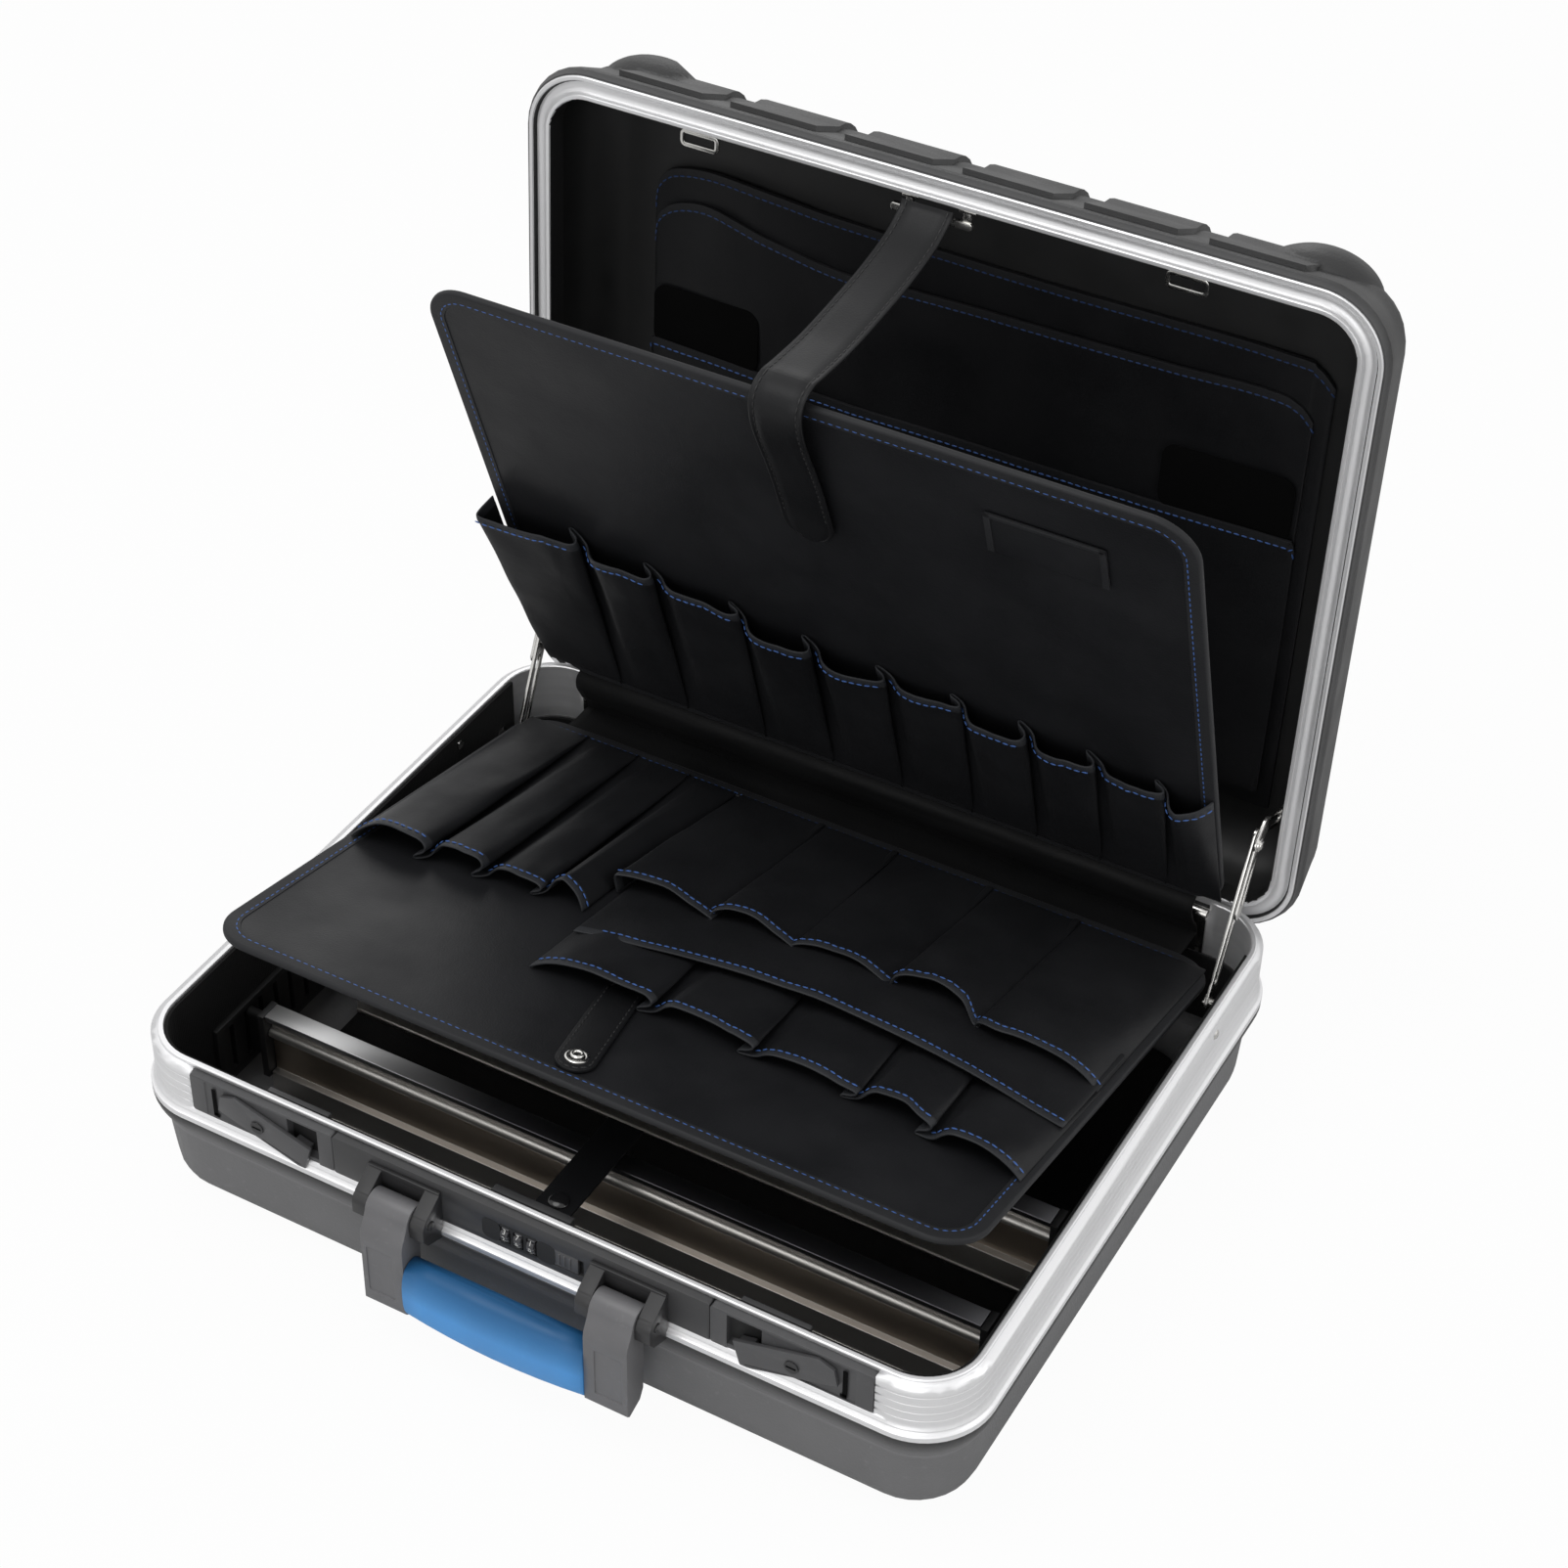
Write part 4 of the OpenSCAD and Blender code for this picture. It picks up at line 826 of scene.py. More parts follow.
class CASE_OT_latches(bpy.types.Operator):
    """Latch plates, levers, pivots and inner covers"""

    bl_idname = "case.latches"
    bl_label = "Latches"

    def execute(self, context):
        plates = softened(["latch_plate_left", "latch_plate_right"], "fittings", 0.35)
        softened(["latch_covers"], "fittings", 0.35)
        for side, end, piece in ((-1, "left", plates[0]), (1, "right", plates[1])):
            node = "latch_plate_" + end
            darken_recesses(piece)
            # Thin near-black sheets on the plate's face: painted shade in its slots
            slots = slabs((2.4, 17.5, 0.6, 3, (side * 175.6, 84.6), 0, 0.04),
                          (3.6, 2.4, 0.6, 3, (side * 175, 76), 0, 0.04))
            turn_over(slots, upright(PLATE_FACE - 0.01))
            finished(slots, node + "_slot", "void", node, stands=False)
            self.lever("latch_lever_" + end, side)
            # Thin near-black sheet on the pivot's head: painted shade in the screw's slot
            screw = slabs((5.2, 1.0, 0.2, 2, (side * LEVER_PIVOT, 82.1), 0, 0.15))
            turn_over(screw, upright(PLATE_FACE - 2.42))
            finished(screw, node + "_screw_slot", "void", "latch_pivots", stands=False)
        smoothed(["latch_pivots"], "dark")
        return {"FINISHED"}

    def lever(self, node, side):
        """Lever with a shorter inner end and rounded edges"""
        lever, = softened([node], "lever", 0.5, 3)
        pivot = side * LEVER_PIVOT * MM
        for v in lever.data.vertices:
            beyond = (v.co.x - pivot) * side
            if beyond > 0:
                v.co.x = pivot + side * beyond * 0.76


class CASE_OT_lock(bpy.types.Operator):
    """Lock plate, cover, slider, axle and dials with their numbers"""

    bl_idname = "case.lock"
    bl_label = "Number lock"

    def execute(self, context):
        darken_recesses(softened(["lock_plate", "lock_cover"], "lock", 0.35)[0])
        self.window()
        softened(["lock_slider"], "lever", 0.3)
        smoothed(["dial_axle"], "steel")
        for node, start in (("dial_1", 3), ("dial_2", 7), ("dial_3", 1)):
            self.dial(node, start)
        return {"FINISHED"}

    def window(self):
        """Surround of the dials: a thin sheet on the plate's face with painted shade of the window's recess
        """
        dials = [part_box("dial_%d" % i) for i in (1, 2, 3)]
        middle, half, reach, end, gap = 82.5, 6.6, 4.9, 10.5, 0.3
        edges = [v for lo, hi in dials for v in (lo.x / MM - gap, hi.x / MM + gap)]
        edges = [edges[0] + gap - end, *edges, edges[-1] - gap + end]
        uprights = [(x1 - x0, 2 * half, 3.5 if x0 == edges[0] or x1 == edges[-1] else 0, 6,
                     ((x0 + x1) / 2, middle), 0, 0.1) for x0, x1 in zip(edges[::2], edges[1::2])]
        bars = [(x1 - x0, half - reach, 0, 1, ((x0 + x1) / 2, middle + side * (half + reach) / 2), 0, 0.1)
                for x0, x1 in zip(edges[1::2], edges[2::2]) for side in (-1, 1)]
        bm = slabs(*uprights, *bars)
        turn_over(bm, upright(PLATE_FACE - 0.02))
        finished(bm, "lock_window", "cavity", "lock_plate", stands=False)

    def dial(self, node, start):
        """Knurled wheel with ten faces and a number on each"""
        lo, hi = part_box(node)
        centre, r, w = Matrix.Translation((lo + hi) / 2), (hi.y - lo.y) / 2, hi.x - lo.x
        bm = bmesh.new()
        half = [(0.0, -0.5), (0.80, -0.5), (0.93, -0.42), (0.985, -0.36)]
        profile = half + [(a, -b) for a, b in reversed(half)]
        turned(bm, [(a * r / MM, b * w / MM) for a, b in profile], 80)
        for v in bm.verts:
            a = math.degrees(math.atan2(v.co.y, v.co.x)) % 36
            if math.hypot(v.co.x, v.co.y) > 0.9 * r and 15 < a < 21:
                v.co.x *= 0.91
                v.co.y *= 0.91
        bmesh.ops.recalc_face_normals(bm, faces=bm.faces)
        turn_over(bm, centre @ Matrix.Rotation(math.pi / 2, 4, "Y"))
        finished(bm, node + "_wheel", "dial", node, 30)
        for n in range(10):
            angle = math.radians(36 * (n - start) - 62)
            text = bpy.data.curves.new(node + "_digit", "FONT")
            text.body, text.size, text.extrude, text.resolution_u = str(n), 3.6 * MM, 0.04 * MM, 3
            text.align_x = text.align_y = "CENTER"
            holder = bpy.data.objects.new(node + "_digit", text)
            mesh = bpy.data.meshes.new_from_object(holder)
            bpy.data.objects.remove(holder)
            bm = bmesh.new()
            bm.from_mesh(mesh)
            turn_over(bm, centre @ Matrix.Rotation(-angle, 4, "X") @ Matrix.Translation((0, 0, r)))
            finished(bm, "%s_number_%d" % (node, n), "ink", node, stands=False)


class CASE_OT_handle(bpy.types.Operator):
    """Carry handle: brackets, pins, frame and soft grip"""

    bl_idname = "case.handle"
    bl_label = "Handle"

    def execute(self, context):
        brackets = ["handle_bracket_left", "handle_bracket_right"]
        softened(brackets, "bracket", 0.5, 3)
        for node in brackets:
            lo, hi = (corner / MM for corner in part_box(node))
            bm = slabs((hi.x - lo.x - 1.2, 1.7, 0, 1, ((lo.x + hi.x) / 2, hi.y - 0.95), hi.z - 12, 11.8))
            round_edges(bm, 0.4)
            finished(bm, node + "_wall", "bracket", node, stands=False)
        softened(["handle_frame"], "handle", 0.6, 3)
        smoothed(["handle_pins"], "dark")
        self.grip()
        return {"FINISHED"}

    def grip(self):
        """Soft grip, fuller in its middle"""
        bm = merged_copy("handle_grip")
        lo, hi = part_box("handle_grip")
        middle, half = (lo + hi) / 2, (hi - lo) / 2
        for v in bm.verts:
            u = v.co.x / half.x
            full = 1 - u * u
            v.co.z = middle.z + (v.co.z - middle.z) * (1 + 0.09 * full) - 0.5 * MM * full
            if v.co.y < middle.y:
                v.co.y -= 1.4 * MM * full
        skin_of(bm, "handle_grip", "grip", 50, False)


# ---------- Inside of the base ----------


class CASE_OT_dividers(bpy.types.Operator):
    """Cross dividers with their end plates"""

    bl_idname = "case.dividers"
    bl_label = "Dividers"

    def execute(self, context):
        for divider in softened(["divider_front", "divider_rear"], "divider", 0.4):
            top = max(v.co.z for v in divider.data.vertices)
            painted(divider, "rail", lambda p: p.center.z > top - 2.6 * MM)
            painted(divider, "divider_low", lambda p: top - 36 * MM < p.center.z < top - 19 * MM)
        softened(["divider_ends_front", "divider_ends_rear"], "cavity", 0.4)
        return {"FINISHED"}


class CASE_OT_base_strap(bpy.types.Operator):
    """Holding strap on the front wall with its press stud"""

    bl_idname = "case.base_strap"
    bl_label = "Holding strap"

    def execute(self, context):
        strap, = softened(["base_strap"], "strap", 0.35)
        self.stud()
        return {"FINISHED"}

    def stud(self):
        """Domed cap of the press stud"""
        lo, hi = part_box("base_snap")
        r = (hi.x - lo.x) / 2 / MM
        outline = [(0.0, 2.3), (0.35, 2.2), (0.66, 1.8), (0.88, 1.15), (1.0, 0.45), (1.0, 0.0)]
        path = curve_through([(a * r, 0, h) for a, h in outline], 4)
        bm = bmesh.new()
        turned(bm, [(p.x, p.z) for p in path] + [(0, 0)])
        turn_over(bm, Matrix.Translation(((lo.x + hi.x) / 2, (lo.y + hi.y) / 2, lo.z)))
        finished(bm, "base_snap_stud", "snap", "base_snap", 50)


class CASE_OT_stays(bpy.types.Operator):
    """Lid stays with their rivets and brackets"""

    bl_idname = "case.stays"
    bl_label = "Lid stays"

    def execute(self, context):
        links = ["stay_%s_link_%s" % (end, side) for end in ("base", "lid") for side in ("left", "right")]
        softened(links + ["stay_base_brackets", "stay_lid_brackets"], "steel", 0.2)
        return {"FINISHED"}


# ---------- Tool boards ----------


def bound_board(board, node):
    """Stiff covered board with a bound edge and blue stitches on both faces"""
    name, tape, corner = board["panel"], sizes().tape / MM, 24
    w, l, low = board["w"], board["l"], board["low"] + 0.1
    thick = BOARD_T - 0.2
    place = on_board(board)
    bm = bmesh.new()
    raised(bm, plate(bm, w, l, corner, 14, (0, l / 2), low), thick)
    round_edges(bm, 1.5, 4)
    for side in (1, -1):
        face = max((f for f in bm.faces if f.normal.z * side > 0.99), key=lambda f: f.calc_area())
        inset(bm, face, tape - 1.5, 0)
        inset(bm, face, 0.25, -0.45 * side)
    turn_over(bm, place)
    piece = finished(bm, name, "hem", node, 30)
    painted(piece, "leather", lambda p: p.area > 0.02)
    seam = bmesh.new()
    sewn = (w - tape * 1.55, l - tape * 1.55, corner - tape * 0.75, (0, l / 2))
    for z, side in ((low + thick, 1), (low, -1)):
        path = [place @ p for p in outline_path(*sewn, z)]
        sew(seam, path, place.to_3x3() @ Vector((0, 0, side)), True, sunk=0.18)
    finished(seam, name + "_stitches", "thread", node, stands=False)


# Half cross-sections of gathered pockets, from seam to seam: share of the width, millimetres added to
# that, share of the height, and 1 where the hem's stitches show.
LEFT_SIDES = {
    "soft": [(0, 0, 0, 0), (0.05, 0, 0.2, 1), (0.14, 0, 0.5, 1), (0.27, 0, 0.8, 1), (0.42, 0, 0.98, 1)],
    "end": [(0, 0, 0, 0), (0, -0.6, 0.3, 0), (0, -1.2, 0.62, 0), (0, -1.0, 0.9, 1), (0.05, 0, 1.0, 1),
            (0.2, 0, 1.04, 1)],
    "tube": [(0, 0, 0, 0), (0, 3.0, 0.05, 0), (0, 7.0, 0.13, 1), (0, 10.5, 0.32, 1), (0, 13.0, 0.60, 1),
             (0, 16.5, 0.84, 1), (0, 21.0, 0.97, 1)],
    "arch": [(0, 0, 0, 0), (0, 0.8, 0.3, 0), (0, 1.6, 0.62, 1), (0.05, 1.2, 0.86, 1), (0.16, 0, 1.02, 1),
             (0.32, 0, 1.08, 1)],
}
RIGHT_SIDES = {
    "end": [(0.55, 0, 0.98, 1), (0.8, 0, 0.72, 1), (0.93, 0, 0.36, 1), (1, 0, 0, 1)],
    "tube": [(0.7, 0, 1.05, 1), (0.86, 0, 1.04, 1), (1, 2.0, 0.98, 1), (1, 6.0, 0.88, 1), (1, 8.2, 0.70, 0),
             (1, 8.0, 0.50, 0), (1, 5.4, 0.30, 0), (1, 1.6, 0.15, 0), (1, 0, 0, 0)],
    "arch": [(0.5, 0, 1.02, 1), (0.7, 0, 0.88, 1), (0.86, 0, 0.72, 1), (0.96, 0, 0.60, 1), (1, 2.2, 0.48, 1),
             (1, 3.4, 0.36, 0), (1, 1.6, 0.24, 0), (1, -3.0, 0.17, 0), (1, -3.8, 0.08, 0), (1, 0, 0, 0)],
}


def pocket_section(width, left, right, last):
    """Cross-section of a pocket as (share of the width, height, stitched); a row shares its seams"""
    squeeze = min(1.0, width / 44)
    sides = LEFT_SIDES[left] + RIGHT_SIDES[right]
    line = curve_through([(part + extra * squeeze / width, h, sewn) for part, extra, h, sewn in sides], 2)
    return line if last else line[:-1]


# Rows of a pocket's cloth from its foot to its hem, as shares of that length
LEVELS = (0.0, 0.05, 0.12, 0.2, 0.3, 0.4, 0.5, 0.6, 0.7, 0.8, 0.88, 0.95)


def pocket_row(board, name, node, seams, foot, mouths, tall, style="tube", first="end", rise=0.75, sag=1.5,
               gusset=0.0, over=0.0, stands=True):
    """Row of gathered pockets sewn to a board. seams are the places of the seams, mouths how far each
    pocket reaches, tall how far it stands off the board, over how far it starts above the board's face."""
    s = sizes()
    hem = s.hem / MM
    place, side = on_board(board), board["side"]
    base = over + board["face"]
    ends = len(mouths) - 1
    columns = []
    for i, (x0, x1) in enumerate(zip(seams, seams[1:])):
        section = pocket_section(x1 - x0, style if i else first, "end" if i == ends else style, i == ends)
        columns += [(i, p.x, p.y, x0, x1, p.z > 0.5) for p in section]

    def surface(column, t=1.0, lift=0.0, back=0.0):
        i, u, h, x0, x1, _ = column
        width, inner = x1 - x0, min(max(u, 0), 1)
        mouth = mouths[i]
        if i < ends and u > 0.8:
            mouth += (mouths[i + 1] - mouths[i]) * (inner - 0.8) / 0.4
        if i > 0 and u < 0.2:
            mouth += (mouths[i - 1] - mouths[i]) * (0.2 - inner) / 0.4
        mouth += sag * (0.5 - 1.6 * math.sin(math.pi * inner) - 0.8 * (1 - min(h, 1)))
        grow = t ** rise
        x = x0 + width * (inner + (u - inner) * grow)
        size = tall * (0.88 + 0.2 * math.sin(2.1 * i + 0.7)) * grow
        if i == 0:
            size *= 1 + gusset * (1 - inner)
        v = foot + (mouth - foot) * t - back
        fold = noise.noise(Vector((x * 0.045 + v * 0.02, v * 0.022, i * 1.7 + side)))
        crease = noise.noise(Vector((x * 0.16 - v * 0.05, v * 0.07, i * 3.1 + side)))
        loose = min(1, 3 * t * (1 - 0.35 * t))
        height = base + 0.35 + h * (size + (1.9 * fold + 0.55 * crease) * loose) + lift
        return Vector((x, v, side * max(height, base + 0.3)))

    # The hem's rows: how far each lies behind the mouth, and how high
    hem_rows = ((hem + 0.2, 0.0), (hem - 0.1, 0.45), (hem * 0.5, 0.75), (0.6, 0.55), (0.0, 0.05))
    bm = bmesh.new()
    for k, v in enumerate(rows_of(bm, len(columns) - 1, len(LEVELS) + len(hem_rows) - 1)):
        row, column = k // len(columns), columns[k % len(columns)]
        if row < len(LEVELS):
            p = surface(column, LEVELS[row] * (1 - hem / max(mouths[column[0]] - foot, hem * 1.5)))
        else:
            back, lift = hem_rows[row - len(LEVELS)]
            p = surface(column, 1.0, lift * (0.3 + 0.7 * min(column[2], 1)), back)
        v.co = p * MM
    turn_over(bm, place)
    face_along(bm, place.to_3x3() @ Vector((0, 0, side)))
    piece = finished(bm, name, "pocket", node, 60, stands)
    thickened(piece, s.cloth).use_even_offset = False
    soft = piece.modifiers.new("Soft", "SUBSURF")
    soft.levels = soft.render_levels = 1
    painted(piece, "hem_pocket", lambda p: p.index // (len(columns) - 1) >= len(LEVELS))
    seam = bmesh.new()
    for i in range(len(mouths)):
        path = [surface(c, 1.0, 0.0, hem * 0.78) for c in columns if c[0] == i and c[5]]
        normals = [-n if n.z * side < 0 else n for n in path_normals(path, Vector((0, 1, 0)))]
        world = [place @ ((p + n) * MM) for p, n in zip(path, normals)]
        sew(seam, world, [(w, place.to_3x3() @ n) for w, n in zip(world, normals)])
    stitches = finished(seam, name + "_stitches", "thread", node, stands=False)
    edge = [surface(column) for column in columns]


class CASE_OT_lower_board(bpy.types.Operator):
    """Lower tool board with its three rows of pockets, strap and ring stud"""

    bl_idname = "case.lower_board"
    bl_label = "Lower tool board"

    def execute(self, context):
        bound_board(LOWER, "board_lower")
        pocket_row(LOWER, "lower_left_row", "lower_pockets_left", [-208, -170, -137, -104, -74], 6,
                   [183, 178, 174, 169], 13, first="soft")
        pocket_row(LOWER, "lower_right_row", "lower_pockets_right", [-71, -19, 26, 83, 134, 206], 6,
                   [142, 137, 134, 134, 150], 12, "arch", sag=3.5)
        pocket_row(LOWER, "lower_short_row", "lower_pockets_front", [-68, -6, 51, 108, 150, 207], 146,
                   [230, 229, 231, 232, 240], 10, first="soft", rise=0.9, stands=False)
        pocket_row(LOWER, "lower_long_row", "lower_pockets_front", [-67, 206], 112, [195], 7.5,
                   first="soft", rise=1.0, sag=15, over=2.6)
        self.strap()
        return {"FINISHED"}

    def strap(self):
        """Strap tab that lies askew on the board, and its open stud"""
        stud_at = Matrix.Translation((-6 * MM, 284 * MM, 0))
        place = on_board(LOWER) @ stud_at @ Matrix.Rotation(math.radians(-11), 4, "Z") @ stud_at.inverted()
        z = BOARD_T / 2 + 0.1
        bm = slabs((20.5, 84, 10.2, 10, (-6, 253), z, 1.9))
        round_edges(bm, 0.35)
        turn_over(bm, place)
        tab = finished(bm, "lower_strap_tab", "strap", "lower_strap")
        seam = bmesh.new()
        path = [place @ p for p in outline_path(16.5, 80, 8.0, (-6, 253), z + 1.9)]
        sew(seam, path, place.to_3x3() @ Vector((0, 0, 1)), True)
        stitches = finished(seam, "lower_strap_stitches", "dark_thread", "lower_strap", stands=False)
        at = place @ Vector((-6 * MM, 284 * MM, (z + 1.9) * MM))
        self.stud(Matrix.Translation(at) @ Matrix.Rotation(math.radians(-LOWER["angle"]), 4, "X"), 6.0)

    def stud(self, place, r):
        """Open ring of a press stud: a rolled rim round a dark cup, on a thin flange"""
        bm = bmesh.new()
        flange = ((0.66, 0.0), (1.0, 0.0), (1.0, 0.5), (0.93, 0.85), (0.80, 0.95), (0.70, 0.75), (0.66, 0.3),
                  (0.66, 0.0))
        turned(bm, [(a * r, h) for a, h in flange])
        turns = [math.radians(a) for a in range(0, 361, 30)]
        turned(bm, [((0.43 + 0.15 * math.cos(a)) * r, 1.5 + 0.95 * math.sin(a)) for a in turns])
        turn_over(bm, place)
        finished(bm, "lower_snap_ring", "bright", "lower_snap", 50)
        cup = bmesh.new()
        hollow = ((0.0, 0.35), (0.30, 0.35), (0.36, 1.1), (0.5, 1.1), (0.56, 0.4), (0.68, 0.35), (0.68, 0.0),
                  (0.0, 0.0))
        turned(cup, [(a * r, h) for a, h in hollow])
        turn_over(cup, place)
        finished(cup, "lower_snap_cup", "snap", "lower_snap", 50, False)


class CASE_OT_upper_board(bpy.types.Operator):
    """Upper tool board with its row of pockets and card holder"""

    bl_idname = "case.upper_board"
    bl_label = "Upper tool board"

    def execute(self, context):
        bound_board(UPPER, "board_upper")
        pocket_row(UPPER, "upper_row", "upper_pockets",
                   [-205, -158, -115, -66, -24, 18, 60, 98, 135, 172, 203], 5,
                   [154, 144, 136, 127, 121, 118, 117, 113, 107, 103], 12, sag=1.8, gusset=0.35)
        self.card_holder()
        return {"FINISHED"}

    def card_holder(self):
        """Flat holder for a card, bound on three sides"""
        place = on_board(UPPER)
        bm = slabs((62, 28, 1.2, 3, (127, 270), -1.3, 1.3))
        round_edges(bm, 0.3)
        turn_over(bm, place)
        holder = finished(bm, "card_holder", "leather", "upper_card_holder")
        rim = slabs(*((x1 - x0, y1 - y0, 0.4, 2, ((x0 + x1) / 2, (y0 + y1) / 2), -1.9, 0.7)
                      for x0, x1, y0, y1 in
                      ((96, 158, 281.5, 284), (96, 99.5, 256, 284), (154.5, 158, 256, 284))))
        round_edges(rim, 0.25)
        turn_over(rim, place)
        rim = finished(rim, "card_holder_rim", "hem", "upper_card_holder", stands=False)


# ---------- Inside of the lid ----------


class CASE_OT_lid_pockets(bpy.types.Operator):
    """Document panel and the two flat pockets in the lid"""

    bl_idname = "case.lid_pockets"
    bl_label = "Lid pockets"

    def execute(self, context):
        self.sheet("lid_panel", "lid_shell",
                   [(-186, -100), (-184, -113), (-174, -122), (-150, -126), (-116, -124), (-60, -120),
                    (60, -119), (170, -120), (186, -117), (196, -108)], 148, 152.6, 2.0, 2.4, "faint_thread")
        self.sheet("lid_pocket_back", "lid_panel",
                   [(-184, -82), (-182, -95), (-171, -104), (-150, -107), (-120, -100), (-74, -93),
                    (-30, -96), (80, -97), (160, -99), (179, -96), (188, -88)], 140, 149.9, 3.5, 1.6,
                   "faint_thread")
        self.cut_outs()
        self.sheet("lid_pocket_front", "lid_pocket_back",
                   [(-184, -19), (-183, -22), (-170, -22), (-120, -20), (-60, -18), (20, -18), (110, -19),
                    (180, -21), (188, -20), (190, -15)], 136, 147.6, 2.4, 1.6, "thread")
        return {"FINISHED"}

    def sheet(self, node, behind, mouth, foot, z, stand, thick, sewn):
        """Soft sheet from its mouth down to its foot, in the closed lid's axes; it stands off at the mouth"""
        hem = sizes().hem / MM
        line = curve_through([(x, y, 0) for x, y in mouth], 5)
        across = len(line) - 1
        downs = [0, 1.2, hem - 0.4, hem + 0.2, 10, 17, 28, 45, 70, 100, 135]
        downs = [d for d in downs if d < foot - max(p.y for p in line) - 6]

        def at(c, down):
            p = line[c]
            loose = math.sin(math.pi * c / across) ** 0.4 * (1 - down / (foot - p.y)) ** 1.6
            puff = 0.55 + 1.1 * noise.noise(Vector((p.x * 0.014, down * 0.01, z)))
            puff += 0.3 * noise.noise(Vector((p.x * 0.05, down * 0.03, z)))
            return Vector((p.x, p.y + down, z - stand * loose * max(puff, 0.1)))

        bm = bmesh.new()
        for k, v in enumerate(rows_of(bm, across, len(downs))):
            row, c = divmod(k, across + 1)
            v.co = (at(c, downs[row]) if row < len(downs) else Vector((line[c].x, foot, z))) * MM
        turn_over(bm, LID)
        inwards = LID.to_3x3() @ Vector((0, 0, -1))
        face_along(bm, inwards)
        piece = finished(bm, node + "_sheet", "pocket", node, 60)
        painted(piece, "hem", lambda p: p.index // across < 2)
        thickened(piece, thick * MM)
        round_off = piece.modifiers.new("Soft", "BEVEL")
        round_off.width, round_off.segments = 0.5 * MM, 2
        round_off.limit_method, round_off.angle_limit = "ANGLE", math.radians(50)
        seam = bmesh.new()
        path = [at(c, hem * 0.8) + Vector((0, 0, -0.15)) for c in range(across + 1)]
        sew(seam, [LID @ (p * MM) for p in path], inwards)
        stitches = finished(seam, node + "_stitches", sewn, node, stands=False)

    def cut_outs(self):
        """Thumb openings at the lower corners of the back pocket: thin sheets with painted shade"""
        for k, (width, x) in enumerate(((64, -151), (72, 150))):
            bm = slabs((width, 37, 8, 8, (x, -36.5), 146.9, 0.4))
            round_edges(bm, 0.12)
            turn_over(bm, LID)
            finished(bm, "lid_pocket_opening_%d" % k, "void", "lid_pocket_back", stands=False)


